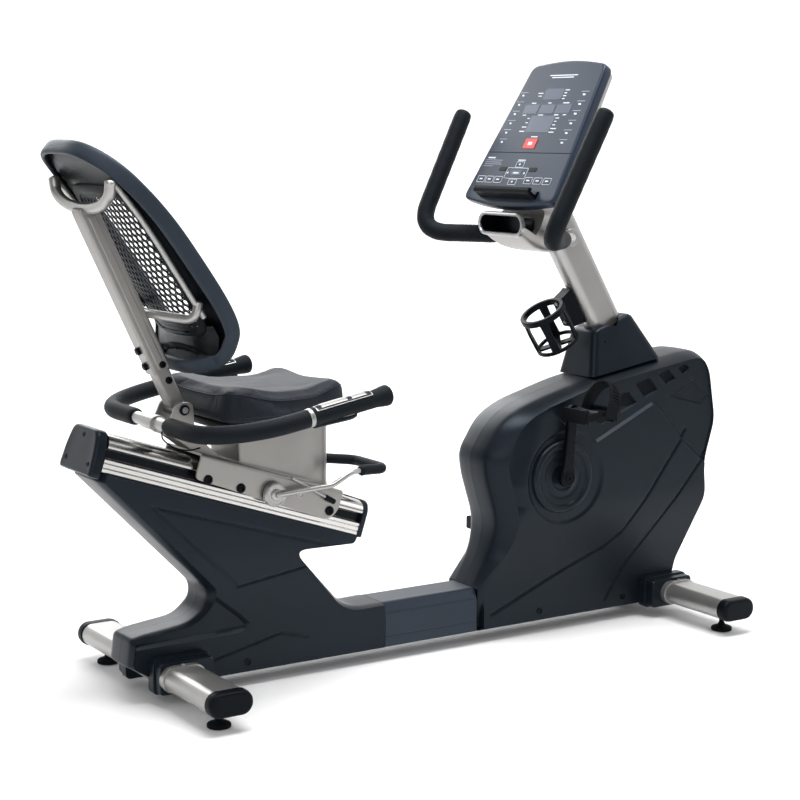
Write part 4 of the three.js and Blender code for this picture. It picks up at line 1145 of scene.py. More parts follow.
def rail_caps():
    shield = [(-85, -17, 12), (85, -17, 12), (80, 40, 30), (64, 85, 20), (-64, 85, 20), (-80, 40, 30)]
    curve = corner_curve(shield, 10)
    middle = Vector((0, 34))

    def ring(x, shrink):
        out = []
        for p in curve:
            away = p - middle
            out.append((x, middle.x + away.x * (1 - shrink / away.length),
                        middle.y + away.y * (1 - shrink / away.length)))
        return out

    rings = [ring(-6.2, 1.2), ring(-6.6, 0.2), ring(-21, 0.2), ring(-25, 1.0), ring(-28, 3.2),
             ring(-29.7, 7), ring(-30, 12),
             ring(-29.4, 15), ring(-28.8, 40)]
    loft("rail_end_shield", rings, NAVY, "frame", at=RAIL, stands_for=["rail_cap_rear"],
         slot="navy_plastic", sharp=30)
    for i, (y, z) in enumerate(((-58, 8), (58, 8), (0, 66))):
        turned(f"shield_screw_{i}", [(5.6, 0.2), (5.6, -0.8), (4.4, -1.4), (3, 0.4), (0.5, 0.6)],
               GLOSS_BLACK, "frame",
               centre=(-28.9, y, z), axis="x", sides=24, at=RAIL)
    front = [(-74.5, -3.5, 4), (74.5, -3.5, 4), (74.5, 60, 10), (66, 76, 8), (54, 82.5, 8), (-54, 82.5, 8),
             (-66, 76, 8),
             (-74.5, 60, 10)]
    curve = corner_curve(front, 6)
    middle = Vector((0, 38))
    rings = [ring(668.3, 0.5), ring(668.6, 0.0), ring(676, 0.0), ring(680, 1.2), ring(681.8, 3.5),
             ring(682, 8),
             ring(681.2, 11), ring(681.0, 38)]
    loft("rail_end_front", rings, NAVY, "frame", at=RAIL, stands_for=["rail_cap_front"],
         slot="navy_plastic", sharp=30)


rail_caps()

# ------------------------------------------------------------------ seat carriage and its lever


def along_rail(along, above):
    point = RAIL @ Vector((along, 0, above))
    return point.x, point.z


def trolley():
    """A folded plate over the rail: rounded bends, side cheeks whose lower edge rises at the nose."""
    stations = [(212, 47), (213, 41), (216, 37), (222, 34.4), (300, 31), (420, 25), (520, 20.2), (556, 18.6),
                (568, 21), (578, 28), (585, 38), (589, 48), (590, 56)]
    rings = []
    for x, low in stations:
        ring = []
        outer = corner_curve([(-88, low), (-88, 92, 9), (88, 92, 9), (88, low)], 6)
        inner = corner_curve([(82, low), (82, 86, 4), (-82, 86, 4), (-82, low)], 6)
        for p in [*outer, *inner]:
            ring.append((x, p.x, p.y))
        rings.append(ring)
    loft("seat_trolley", rings, SHADED_SILVER, "carriage", at=RAIL, stands_for=["seat_carriage"], slot="silver_paint",
         sharp=30, bevel=0.8, segments=2)
    for side, sign in (("right", -1), ("left", 1)):
        for i, along in enumerate((243, 328, 567)):
            bolt(f"trolley_bolt_{i}_{side}", (along, sign * 88.2, 40), BLACK, "carriage", radius=11,
                 height=4.6,
                 side=sign, at=RAIL)
        turned(f"trolley_slot_{side}", [(9, sign * 88), (9, sign * 89.4), (7.4, sign * 90), (6, sign * 88.6)],
               STEEL, "carriage", centre=(480, 0, 60), axis="y", at=RAIL)


def seat_box():
    """The hollow pedestal between the trolley and the pan, with a rounded nose."""
    plan = [(-868, -70, 10), (-690, -70, 40), (-625, -42, 34), (-602, 0, 26), (-625, 42, 34), (-690, 70, 40),
            (-868, 70, 10)]
    shape = corner_curve(plan, 8)
    middle = Vector((-760, 0))
    rings = []
    for up, grow in ((0.0, 3.0), (0.03, 1.0), (0.08, 0.0), (0.9, 0.0), (0.95, 0.6), (0.985, 3.0), (1.0, 3.2)):
        ring = []
        for p in shape:
            away = (p - middle).normalized() * grow
            place = p + away
            low = (RAIL_START[1] - (place.x - RAIL_START[0]) * math.tan(RAIL_SLOPE)
                   + 92 / math.cos(RAIL_SLOPE) - 0.5)
            ring.append((place.x, place.y, low + (600 - low) * up))
        rings.append(ring)
    loft("seat_pedestal", rings, SHADED_SILVER, "carriage", slot="silver_paint", sharp=40)


def recline_ears():
    """Two side plates that hold the backrest's hinge, with bolts, a cross plate and rubber stops."""
    shape = [(*along_rail(216, 91), 4), (*along_rail(292, 91), 8), (-960, 583, 16), (-964, 656, 15),
             (-1003, 658, 15),
             (-1026, 606, 8), (-1022, 590, 6)]
    for side, sign in (("right", -1), ("left", 1)):
        prism(f"hinge_plate_{side}", shape, "side", sign * 34, sign * 40, SHADED_SILVER, "carriage", bevel=1.0)
        bolt(f"hinge_bolt_{side}", (-985, sign * 40, 640), BLACK, "carriage", radius=12, height=5, side=sign)
        bolt(f"stop_bolt_{side}", (-978, sign * 40, 600), BLACK, "carriage", radius=8, height=4, side=sign)
        turned(f"hinge_bumper_{side}", [(9, 0), (10, 2), (10, 10), (8, 13), (0.5, 13.5)], RUBBER, "carriage",
               centre=(-1012, sign * 24, 594.2), axis="z")
    prism("hinge_cradle", [(-1026, -40, 3), (-1000, -40, 3), (-1000, 40, 3), (-1026, 40, 3)], "flat", 586,
          594, SHADED_SILVER,
          "carriage", bevel=1.0)
    turned("hinge_pin", [(7, -46), (7, 46)], STEEL, "carriage", centre=(-985, 0, 640), axis="y")


trolley()
seat_box()
recline_ears()

for name, along in (("rear", 243), ("front", 567)):
    for side, sign in (("right", -1), ("left", 1)):
        wheel = [(6.2, 70), (9.6, 70), (11, 69), (11, 66.6), (10, 66), (10, 65.4), (11, 64.8), (11, 62.4),
                 (9.6, 61.4),
                 (6.2, 61.4)]
        turned(f"{name}_rolling_wheel_{side}", [(r, sign * y) for r, y in wheel], RUBBER,
               f"roller_{name}_{side}",
               centre=(along, 0, 40), axis="y", at=RAIL, stands_for=[f"{name}_roller_{side}"], slot="rubber")

LEVER_X, LEVER_Z = along_rail(410, 46)
LEVER_POINTS = [(LEVER_X, -108, LEVER_Z), (-650, -108, 449, 12), (-596, -104, 474, 14), (-556, -92, 473, 14),
                (-484, -66, 466, 24)]
LEVER_RETURN = [(point[0], -point[1], *point[2:]) for point in reversed(LEVER_POINTS)]
lever_path = spaced(route([*LEVER_POINTS, *LEVER_RETURN]), 9)


def lock_lever():
    rods = tube("lever_rod", lever_path, 6, STEEL, "lever", ends="round", stands_for=["lock_lever"],
                slot="steel")
    rods.data.materials[0] = SILVER
    grip = part_of(lever_path, 0.305, 0.695)
    sizes = [12.0] * len(grip)
    sizes[0] = sizes[-1] = 10.5
    sizes[1] = sizes[-2] = 12.6
    tube("lever_grip", grip, sizes, FOAM, "lever", ends="round", stands_for=["lock_lever_grip"], slot="foam")
    for side, sign in (("right", -1), ("left", 1)):
        hub = [(8.6, 92.8), (26.5, 92.8), (28, 94), (28, 102.5), (26.4, 104.6), (24, 105.4), (22.5, 104.2),
               (13, 104.2),
               (12, 106.6), (9, 107.6), (0.5, 107.8)]
        turned(f"lever_hub_{side}", [(r, sign * y) for r, y in hub], SILVER, "lever",
               centre=(LEVER_X, 0, LEVER_Z),
               axis="y")
    tube("latch_rod", spaced([Vector((-748, -97, 474)), Vector((-652, -97, 416))], 12), 3.4, STEEL,
         "carriage",
         ends="round")
    tube("latch_rod_end", [Vector((-660, -97, 421)), Vector((-640, -97, 409))], 6.4, BLACK, "carriage",
         ends="round")


lock_lever()

# ------------------------------------------------------------------ seat

CUSHION_PLAN = [(-955, -182, 50), (-790, -194, 90), (-610, -146, 66), (-624, 0, 110), (-610, 146, 66),
                (-790, 194, 90), (-955, 182, 50)]


def shrunk(curve, distance):
    """A closed flat curve moved inwards; the curve runs anticlockwise."""
    result = []
    count = len(curve)
    for i, p in enumerate(curve):
        run = curve[(i + 1) % count] - curve[i - 1]
        inward = Vector((-run.y, run.x)).normalized()
        result.append(p + inward * distance)
    return result


def even(curve, count):
    """A closed flat curve with evenly spaced points."""
    loop = [*curve, curve[0]]
    total = sum((b - a).length for a, b in zip(loop, loop[1:]))
    result = []
    walked = 0.0
    step = total / count
    goal = 0.0
    for a, b in zip(loop, loop[1:]):
        run = (b - a).length
        while goal < walked + run - 1e-9 and len(result) < count:
            result.append(a.lerp(b, (goal - walked) / run))
            goal += step
        walked += run
    return result


def seat_top(x, y):
    """Height of the cushion's top: a low saddle with raised front corners and a raised rear."""
    front = smooth_step((x + 735) / 95)
    rear = smooth_step((-800 - x) / 130)
    across = min(1.0, abs(y) / 150)
    return (669 + front * (13 + 10 * across ** 2) + rear * (14 + 6 * across ** 2)
            + 3 * across ** 2 * (1 - front))


def seat_pan():
    plan = even(corner_curve(CUSHION_PLAN, 10), 120)
    rings = []
    for z, shrink in ((600.6, 34), (601.0, 22), (604, 17), (610, 14.5), (616, 13.6), (618.4, 14.2),
                      (619.6, 16)):
        rings.append([(p.x, p.y, z) for p in shrunk(plan, shrink)])
    loft("seat_pan_tray", rings, BLACK, "carriage", stands_for=["seat_pan"], slot="black_plastic", sharp=50)


def cloth_pillow(obj, voxel, pressure, cap, holds_below=None):
    """Puffs a closed mesh up with a short cloth run, then limits how far each point has moved."""
    mesh = obj.data
    obj.modifiers.clear()
    remesh = obj.modifiers.new("grid", "REMESH")
    remesh.mode = "VOXEL"
    remesh.voxel_size = voxel / 1000
    ready = obj.evaluated_get(bpy.context.evaluated_depsgraph_get())
    grid = bpy.data.meshes.new_from_object(ready)
    obj.modifiers.clear()
    obj.data = grid
    bpy.data.meshes.remove(mesh)
    start = [vert.co.copy() for vert in grid.vertices]
    if holds_below is not None:
        group = obj.vertex_groups.new(name="held")
        group.add([v.index for v in grid.vertices if v.co.z < holds_below / 1000], 1.0, "REPLACE")
    cloth = obj.modifiers.new("cloth", "CLOTH")
    cloth.settings.use_pressure = True
    cloth.settings.uniform_pressure_force = pressure
    cloth.settings.effector_weights.gravity = 0.0
    cloth.settings.tension_stiffness = 18
    cloth.settings.bending_stiffness = 2.0
    cloth.point_cache.frame_start = 1
    cloth.point_cache.frame_end = 20
    if holds_below is not None:
        cloth.settings.vertex_group_mass = "held"
    scene = bpy.context.scene
    for step in range(1, 21):
        scene.frame_set(step)
    ready = obj.evaluated_get(bpy.context.evaluated_depsgraph_get())
    swollen = [vert.co.copy() for vert in ready.to_mesh().vertices]
    ready.to_mesh_clear()
    obj.modifiers.clear()
    scene.frame_set(1)
    for vert, before, after in zip(obj.data.vertices, start, swollen):
        move = after - before
        if move.length > cap / 1000:
            move = move.normalized() * (cap / 1000)
        vert.co = before + move
    finer = obj.modifiers.new("finer", "SUBSURF")
    finer.levels = 1
    finer.render_levels = 1
    ready = obj.evaluated_get(bpy.context.evaluated_depsgraph_get())
    mesh = bpy.data.meshes.new_from_object(ready)
    obj.modifiers.clear()
    obj.data = mesh
    mesh.polygons.foreach_set("use_smooth", [True] * len(mesh.polygons))


def snapped_line(name, points, obj, radius, look, body, lift=0.4):
    """A thin cord of piping or stitching that lies on the surface of another piece."""
    line = []
    for point in points:
        place, normal = obj.closest_point_on_mesh(row(point))[1:3]
        place = place + normal * (lift / 1000)
        line.append(Vector(((place.x - ORIGIN_X) * 1000, place.y * 1000, place.z * 1000)))
    for _ in range(3):
        line = [(line[i - 1] + line[i] * 2 + line[(i + 1) % len(line)]) / 4 for i in range(len(line))]
    sides = 10
    rings = []
    count = len(line)
    for i, p in enumerate(line):
        run = (line[(i + 1) % count] - line[i - 1]).normalized()
        across = run.cross(Vector((0, 0, 1))).normalized()
        up = across.cross(run)
        rings.append([p + across * (radius * math.cos(2 * math.pi * k / sides))
                      + up * (radius * math.sin(2 * math.pi * k / sides)) for k in range(sides)])
    return loft(name, rings, look, body, closed=True)


def seat_cushion():
    """The saddle-shaped cushion, puffed by a cloth run, with piping round its top and a panel seam."""
    plan = even(corner_curve(CUSHION_PLAN, 10), 140)
    rings = []
    levels = [(621.2, 30, 0), (621.4, 12, 0), (623, 8, 0), (630, 6, 0), (0.25, 7, 1), (0.5, 8.5, 1),
              (0.72, 9.5, 1), (0.86, 11, 1), (0.94, 14, 1), (0.985, 20, 1), (1.0, 30, 1), (1.0, 60, 1)]
    centre = Vector((-790, 0))
    crown = [centre + (q - centre) * 0.6 for q in plan]
    for level, shrink, share in levels:
        ring = []
        for p in (shrunk(plan, shrink) if shrink < 40 else crown):
            z = level if not share else 630 + (seat_top(p.x, p.y) - 630) * level
            ring.append((p.x, p.y, z))
        rings.append(ring)
    middle = [(-790 + (p.x + 790) * 0.28, p.y * 0.28,
               seat_top(-790 + (p.x + 790) * 0.28, p.y * 0.28)) for p in plan]
    rings.append(middle)
    cushion = loft("seat_pad", rings, VINYL, None)
    cloth_pillow(cushion, 5, 4.0, 9, holds_below=626)
    on_body(cushion, "carriage", ["seat_cushion"])
    edge = even(shrunk(corner_curve(CUSHION_PLAN, 10), 9), 150)
    snapped_line("seat_piping", [(p.x, p.y, seat_top(p.x, p.y) - 6) for p in edge], cushion, 1.7, VINYL,
                 "carriage")
    low = even(shrunk(corner_curve(CUSHION_PLAN, 10), 3), 150)
    snapped_line("seat_lower_seam", [(p.x, p.y, 633) for p in low], cushion, 1.2, VINYL, "carriage", lift=0.0)


seat_pan()
seat_cushion()

SEAT_BAR = [(-640, -316, 680), (-930, -322, 630, 60), (-1043, -255, 614, 80), (-1043, 255, 614, 80),
            (-930, 322, 630, 60), (-640, 316, 680)]
seat_bar = spaced(route(SEAT_BAR, 14), 10)


def wrapped_plate(name, path, radius, low_angle, high_angle, thickness, look, body):
    """A curved plate that follows a bar; angles are degrees round the bar from straight up."""
    directions = []
    for i in range(len(path)):
        ahead = (path[min(i + 1, len(path) - 1)] - path[max(0, i - 1)]).normalized()
        across = ahead.cross(Vector((0, 0, 1))).normalized()
        directions.append((across, across.cross(ahead)))
    rings = []
    steps = 12
    for i, p in enumerate(path):
        across, up = directions[i]
        shrink = 0.0 if 0 < i < len(path) - 1 else 0.8
        ring = []
        for layer in (0, 1):
            for k in range(steps + 1):
                share = k / steps if layer == 0 else 1 - k / steps
                angle = math.radians(low_angle + (high_angle - low_angle) * share)
                size = radius + (thickness - shrink if layer == 0 else -1.5)
                ring.append(p + across * (size * math.sin(angle)) + up * (size * math.cos(angle)))
        rings.append(ring)
    return loft(name, rings, look, body, sharp=40, bevel=0.5, segments=2)


def seat_handlebar():
    tube("seat_bar_tube", part_of(seat_bar, 0.02, 0.98), 14, SILVER, "carriage", ends="flat",
         stands_for=["seat_handlebar"], slot="silver_paint")
    for side, low, high in (("right", 0.0, 0.44), ("left", 0.56, 1.0)):
        path = part_of(seat_bar, low, high)
        total = len(path)
        sizes = []
        for i in range(total):
            tip = i if low == 0.0 else total - 1 - i
            base = total - 1 - tip
            size = 19.6 + 3.6 * smooth_step((3.2 - tip) / 3.2)
            size -= 2.2 * smooth_step((1.5 - base) / 1.5)
            sizes.append(size)
        tube(f"seat_foam_{side}", path, sizes, FOAM, "carriage", ends="round",
             stands_for=[f"seat_grip_{side}"],
             slot="foam", sides=32)
        start = 0.014 if low == 0.0 else 0.986 - 0.13
        for name, first, last, reach, lift, look in (
                ("pad", 0.016, 0.120, 50, 1.8, SILVER), ("rim", 0.0175, 0.1185, 46, 2.2, GLOSS_BLACK),
                ("steel", 0.026, 0.054, 36, 2.9, SHADED_SILVER), ("steel_long", 0.061, 0.110, 36, 2.9, SHADED_SILVER)):
            plate = part_of(seat_bar, start + first, start + last)
            wrapped_plate(f"pulse_{name}_{side}", plate, 20.0, -reach, reach, lift, look, "carriage")
        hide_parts(f"pulse_plate_{side}")
        ring_path = part_of(seat_bar, *((0.142, 0.146) if side == "right" else (0.854, 0.858)))
        tube(f"grip_band_{side}", ring_path, 20.6, SILVER, "carriage", ends="flat", sides=32)
        swell = [p + Vector((0, 0, -19)) for p in part_of(seat_bar, start + 0.046, start + 0.122)]
        count = len(swell)
        widths = []
        for i in range(count):
            from_tip = i / (count - 1) if low == 0.0 else 1 - i / (count - 1)
            widths.append(11.5 - 6 * from_tip - 3 * smooth_step((0.12 - from_tip) / 0.12))
        tube(f"palm_swell_{side}", swell, widths, GLOSS_BLACK, "carriage", ends="round", sides=28)
        outward = -1 if side == "right" else 1
        line = [p + Vector((0, outward * (width + 0.2), 3)) for p, width in zip(swell, widths)]
        tube(f"palm_trim_{side}", line, 1.1, SILVER, "carriage", ends="round", sides=10)
    clamp = [(a, b) for a, b in stadium(40, 34, 10)]
    tube("bar_clamp", [Vector((-1043, y, 614)) for y in (-30, -28, 28, 30)], [0.94, 1, 1, 0.94], SILVER,
         "carriage",
         section=clamp, ends="open")


seat_handlebar()

tube("pulse_lead", flowing([Vector(p) for p in ((-1043, -46, 598), (-1040, -48, 580), (-1018, -60, 562),
                                                (-990, -70, 556), (-966, -76, 560))]), 1.8, RUBBER,
                                                "carriage",
     ends="round", sides=12, stands_for=["sensor_cable"], slot="rubber")

# ------------------------------------------------------------------ backrest

BACK_HALF = 184
BACK_CROWN = 46
back_line = flowing([Vector((x, 0, z)) for x, z in (
    (-984, 706), (-932, 734), (-910, 786), (-920, 850), (-1016, 996), (-1094, 1096), (-1172, 1176),
    (-1238, 1230))], 16)
back_steps = [0.0]
for start, end in zip(back_line, back_line[1:]):
    back_steps.append(back_steps[-1] + (end - start).length)


def back_point(across, up, behind):
    """A point of the backrest: across is -1 to 1 of its half width, up 0 to 1 of its height."""
    goal = min(1.0, max(0.0, up)) * back_steps[-1]
    index = 1
    while index < len(back_line) - 1 and back_steps[index] < goal:
        index += 1
    start = back_line[index - 1]
    run = back_line[index] - start
    share = (goal - back_steps[index - 1]) / run.length
    before = back_line[max(0, index - 3)]
    after = back_line[min(len(back_line) - 1, index + 2)]
    along = (after - before).normalized()
    point = start + run * share
    depth = behind + BACK_CROWN * (1 - across * across) * math.sin(math.pi * min(1, up * 1.1 + 0.08))
    return Vector((point.x - along.z * depth, across * BACK_HALF, point.z + along.x * depth))


def back_loop(angle, half_across, middle_up, half_up, power=0.56):
    def bent(value):
        return math.copysign(abs(value) ** power, value)
    return half_across * bent(math.cos(angle)), middle_up + half_up * bent(math.sin(angle))


def backrest_rim():
    """The moulded foam rim: a rounded front skin, a deep outer side and a dark hollow behind."""
    count = 144
    front = [(0.0, 30), (0.0, 12), (0.015, 5), (0.05, 1.4), (0.12, 0.2), (0.3, -1.5), (0.55, -1.5),
             (0.8, 0.5), (0.93, 3),
             (0.985, 6.5), (1.0, 10)]
    behind_wall = [(1.0, 12.5), (1.0, 32), (0.965, 32.5), (0.95, 15), (0.7, 13)]
    rings = []
    for i in range(count):
        angle = 2 * math.pi * i / count
        outer = back_loop(angle, 1 - 0.1 * math.sin(angle) ** 2, 0.5, 0.5)
        inner = back_loop(angle, 0.72, 0.53, 0.3)
        width = math.hypot((outer[0] - inner[0]) * BACK_HALF, (outer[1] - inner[1]) * back_steps[-1])
        wall = 13 / width
        ring = []
        for share, depth in [*front, *behind_wall, (wall * 1.25, 14), (wall * 1.02, 18), (wall, 34),
                             (wall * 0.8, 37.2),
                             (wall * 0.4, 38), (wall * 0.12, 36)]:
            a = outer[0] + (inner[0] - outer[0]) * share
            b = outer[1] + (inner[1] - outer[1]) * share
            ring.append(back_point(a, b, depth))
        rings.append(ring)
    size = len(rings[0])
    rim = loft("backrest_rim", rings, PAD, None, closed=True, sharp=70)
    rim.modifiers.clear()
    rim.data.materials.append(BLACK)
    for i, patch in enumerate(rim.data.polygons):
        if len(front) <= i % size < size - 4:
            patch.material_index = 1
    soft = rim.modifiers.new("finer", "SUBSURF")
    soft.levels = 1
    soft.render_levels = 1
    on_body(rim, "backrest", ["backrest_shell"])


def mesh_panel():
    """The black perforated sheet across the opening: staggered rows of round holes in a solid border."""
    columns = 14
    rows = 25
    half_across = 0.715
    low_up = 0.262
    high_up = 0.826
    cell_across = 2 * half_across / columns
    cell_up = (high_up - low_up) / rows
    sides = 12
    points = []
    faces = []
    for row_index in range(rows):
        shift = 0.5 * cell_across if row_index % 2 else 0.0
        for column in range(-1 if shift else 0, columns):
            left = -half_across + column * cell_across + shift
            right = min(half_across, left + cell_across)
            left = max(-half_across, left)
            middle_a = (left + right) / 2
            middle_b = low_up + (row_index + 0.5) * cell_up
            full = right - left > cell_across * 0.9
            on_side = abs(middle_a) / half_across > 0.93
            solid = row_index in (0, 1, rows - 1, rows - 2) or on_side or not full
            start = len(points)
            for behind in (33.0, 35.5):
                for k in range(sides):
                    angle = 2 * math.pi * k / sides
                    c, s = math.cos(angle), math.sin(angle)
                    grow = 1 / max(abs(c), abs(s))
                    a = middle_a + (right - left) / 2 * c * grow
                    b = middle_b + cell_up / 2 * s * grow
                    points.append(back_point(a, b, behind))
                for k in range(sides):
                    angle = 2 * math.pi * k / sides
                    a = middle_a + 7.4 / BACK_HALF * math.cos(angle) * (0.02 if solid else 1)
                    b = middle_b + 6.6 / back_steps[-1] * math.sin(angle) * (0.02 if solid else 1)
                    points.append(back_point(a, b, behind))
            for k in range(sides):
                j = (k + 1) % sides
                faces.append((start + k, start + j, start + sides + j, start + sides + k))
                back = start + 2 * sides
                faces.append((back + k, back + sides + k, back + sides + j, back + j))
                faces.append((start + sides + k, start + sides + j, back + sides + j, back + sides + k))
            if solid:
                faces.append(tuple(start + sides + k for k in range(sides)))
                faces.append(tuple(start + 3 * sides + k for k in reversed(range(sides))))
    piece("backrest_mesh_sheet", points, faces, BLACK, "backrest", stands_for=["backrest_mesh"],
          slot="black_plastic",
          sharp=50)
    border = []
    for i in range(120):
        angle = 2 * math.pi * i / 120
        ring = []
        for grow, depth in ((0.0, 31.5), (0.02, 30.5), (0.075, 30.5), (0.085, 31.5), (0.085, 37),
                            (0.075, 38), (0.02, 38),
                            (0.0, 37)):
            a, b = back_loop(angle, 0.66 + grow, 0.53, 0.272 + grow * 0.36, 0.35)
            ring.append(back_point(a, b, depth))
        border.append(ring)
    loft("backrest_mesh_frame", border, BLACK, "backrest", closed=True)


def rim_half(up):
    """Half the rim's outer width at this height, in the same units as across."""
    climb = min(1.0, abs(up - 0.5) / 0.5) ** (1 / 0.56)
    return (1 - 0.1 * climb * climb) * (1 - climb * climb) ** 0.28


def apron(name, stations, width, bow):
    """A solid black panel inside the rim, given as (up, behind) stations from one end to the other."""
    rings = []
    for up, depth in stations:
        ring = []
        half = min(width, rim_half(up) - 0.09)
        for k in range(25):
            side = -1 + k / 12
            ring.append(back_point(side * half, up - bow * (1 - side * side) * (up - stations[-1][0]), depth))
        rings.append(ring)
    points = [p for ring in rings for p in ring]
    size = len(rings[0])
    faces = [(i * size + k, i * size + k + 1, (i + 1) * size + k + 1, (i + 1) * size + k)
             for i in range(len(rings) - 1) for k in range(size - 1)]
    panel = piece(name, points, faces, GLOSS_BLACK, None, sharp=60)
    panel.modifiers.clear()
    thick = panel.modifiers.new("thick", "SOLIDIFY")
    thick.thickness = 0.003
    thick.offset = 0
    settle(panel, 60)
    on_body(panel, "backrest", ())


apron("backrest_apron", [(0.035, 15), (0.043, 21), (0.06, 25), (0.085, 25.5), (0.095, 28.5), (0.115, 30),
                         (0.15, 31),
                         (0.2, 32), (0.28, 34)], 0.8, 0.2)
apron("backrest_crest", [(0.965, 14), (0.95, 19), (0.92, 25), (0.88, 29), (0.84, 32), (0.795, 34)], 0.72, 0.0)


def on_post(x, y, z):
    return POST @ Vector((x, y, z))


def backrest_frame():
    """The post, the side rails behind the rim and the two bent tubes that join them."""
    post = corner_curve([(-22, -24, 7), (22, -24, 7), (22, 24, 7), (-22, 24, 7)], 6)
    rings = [[(p.x * s, p.y * s, z) for p in post] for z,
             s in ((96, 0.95), (97.5, 1.0), (470, 1.0), (488, 0.97), (494, 0.8))]
    loft("backrest_post_tube", rings, SHADED_SILVER, "backrest", at=POST, stands_for=["backrest_frame"],
         slot="silver_paint",
         sharp=45)
    ridge = corner_curve([(-9, -3, 3), (9, -3, 3), (9, 3, 3), (-9, 3, 3)], 4)
    for side, sign in (("right", -1), ("left", 1)):
        rings = [[(p.x, sign * (24 + p.y * 0.5), z) for p in ridge] for z in (104, 470)]
        loft(f"post_ridge_{side}", rings, SHADED_SILVER, "backrest", at=POST)
        rail = spaced([back_point(sign * 0.80, up / 40, 42) for up in range(13, 35)], 14)
        strip = [(a * 6.5, b * 5.5) for a,
                 b in corner_curve([(-1, -1, 0.8), (1, -1, 0.8), (1, 1, 0.8), (-1, 1, 0.8)], 4)]
        tube(f"backrest_rail_{side}", rail, 1.0, SILVER, "backrest", section=strip)
    top_right = back_point(-0.80, 0.865, 44)
    top_left = back_point(0.80, 0.865, 44)
    base = on_post(0, 0, 487)
    hoop = flowing([top_right, Vector((top_right.x * 0.72 + base.x * 0.28, -134,
                                       top_right.z * 0.6 + base.z * 0.4 - 6)),
                    Vector((top_right.x * 0.3 + base.x * 0.7, -84, base.z + 8)), base,
                    Vector((top_right.x * 0.3 + base.x * 0.7, 84, base.z + 8)),
                    Vector((top_left.x * 0.72 + base.x * 0.28, 134, top_left.z * 0.6 + base.z * 0.4 - 6)),
                    top_left], 10)
    tube("backrest_upper_hoop", hoop, 12, SILVER, "backrest", ends="round")
    low_right = back_point(-0.80, 0.33, 46)
    low_left = back_point(0.80, 0.33, 46)
    base = on_post(4, 0, 232)
    lower = spaced(route([tuple(low_right + Vector((-8, 0, 30))), (*(low_right + Vector((-16, 0, -6))), 26),
                          (base.x + 26, -60, base.z + 2, 40), (base.x + 26, 60, base.z + 2, 40),
                          (*(low_left + Vector((-16, 0, -6))), 26), tuple(low_left + Vector((-8, 0, 30)))],
                          10), 8)
    tube("backrest_lower_hoop", lower, 10, SILVER, "backrest", ends="round")
    inner = corner_curve([(-17, -20, 5), (17, -20, 5), (17, 20, 5), (-17, 20, 5)], 6)
    rings = [[(p.x, p.y, z) for p in inner] for z in (10, 96)]
    loft("backrest_hinge_post", rings, SHADED_SILVER, "backrest", at=POST, stands_for=["backrest_post"],
         slot="silver_paint")
    turned("backrest_hinge_sleeve", [(9, -33), (15, -33), (16, -32), (16, 32), (15, 33), (9, 33)], SILVER,
           "backrest",
           centre=(-985, 0, 640), axis="y")
    for side, sign in (("right", -1), ("left", 1)):
        for i, (along, half) in enumerate(((70, 20.2), (110, 24.2))):
            bolt(f"post_bolt_{i}_{side}", (4, sign * half, along), BLACK, "backrest", radius=8, height=5,
                 side=sign, at=POST)
    for i, along in enumerate((118, 156)):
        turned(f"post_nut_{i}", [(9, -22), (9, -28), (7, -30), (5, -30), (0.5, -29)], BLACK, "backrest",
               centre=(0, 0, along), axis="x", at=POST, sides=6)


backrest_rim()
mesh_panel()
backrest_frame()

# ------------------------------------------------------------------ console

PANEL = [(-184, 0, 20), (-90, -14, 80), (0, -18, 80), (90, -14, 80), (184, 0, 20), (145, 376, 20),
         (70, 386, 60),
         (0, 390, 80), (-70, 386, 60), (-145, 376, 20)]
panel_curve = even(corner_curve(PANEL, 10), 200)


def console_layer(x, shrink):
    return [(x, p.x, p.y) for p in (shrunk(panel_curve, shrink) if shrink else panel_curve)]


def console_shell():
    face = loft("console_panel", [console_layer(x, s) for x, s in (
        (-0.1, 7.5), (0.0, 6.0), (0.6, 3.2), (2.2, 1.2), (5.0, 0.2), (16, 0), (23, 1), (26, 3.5))], SLATE,
        None, at=CONSOLE,
        sharp=40)
    groove = prism("cut_groove", [(-190, 128.6), (190, 128.6), (190, 130.6), (-190, 130.6)], "cross", -5,
                   1.4, BLACK,
                   at=CONSOLE)
    carve(face, groove, sharp=40)
    on_body(face, "frame", ["console_front"])
    loft("console_back_shell", [console_layer(x, s) for x, s in (
        (26.2, 9), (27, 8), (36, 10), (42, 14), (45, 22), (46, 34))], SILVER, "frame", at=CONSOLE,
         stands_for=["console_back"], slot="silver_paint", sharp=50)
    boss = corner_curve([(-98, 40, 30), (98, 40, 30), (72, 282, 30), (-72, 282, 30)], 8)
    centre = Vector((0, 160))
    rings = []
    for x, size in ((42, 1.06), (50, 1.0), (66, 0.95), (74, 0.88), (78, 0.76)):
        rings.append([(x, centre.x + (p.x - centre.x) * size,
                       centre.y + (p.y - centre.y) * size) for p in boss])
    loft("console_back_boss", rings, SILVER, "frame", at=CONSOLE, sharp=50)
    for i, (y, z) in enumerate(((-110, 30), (110, 30), (-92, 330), (92, 330))):
        turned(f"console_screw_{i}", [(5, 45.6), (5, 47.2), (4, 47.8), (2, 47)], STEEL, "frame",
               centre=(0, y, z), axis="x",
               sides=20, at=CONSOLE)


def mark(name, y, z, width, height, look, x=-0.9, radius=0.6, lean=0.0):
    """A slightly raised printed or moulded mark on the console, centred at (y, z)."""
    half_y = width / 2
    half_z = height / 2
    shape = [(y - half_y - lean, z - half_z, radius), (y + half_y - lean, z - half_z, radius),
             (y + half_y + lean, z + half_z, radius), (y - half_y + lean, z + half_z, radius)]
    return prism(name, shape, "cross", x, -0.05, look, "frame", at=CONSOLE, steps=3)


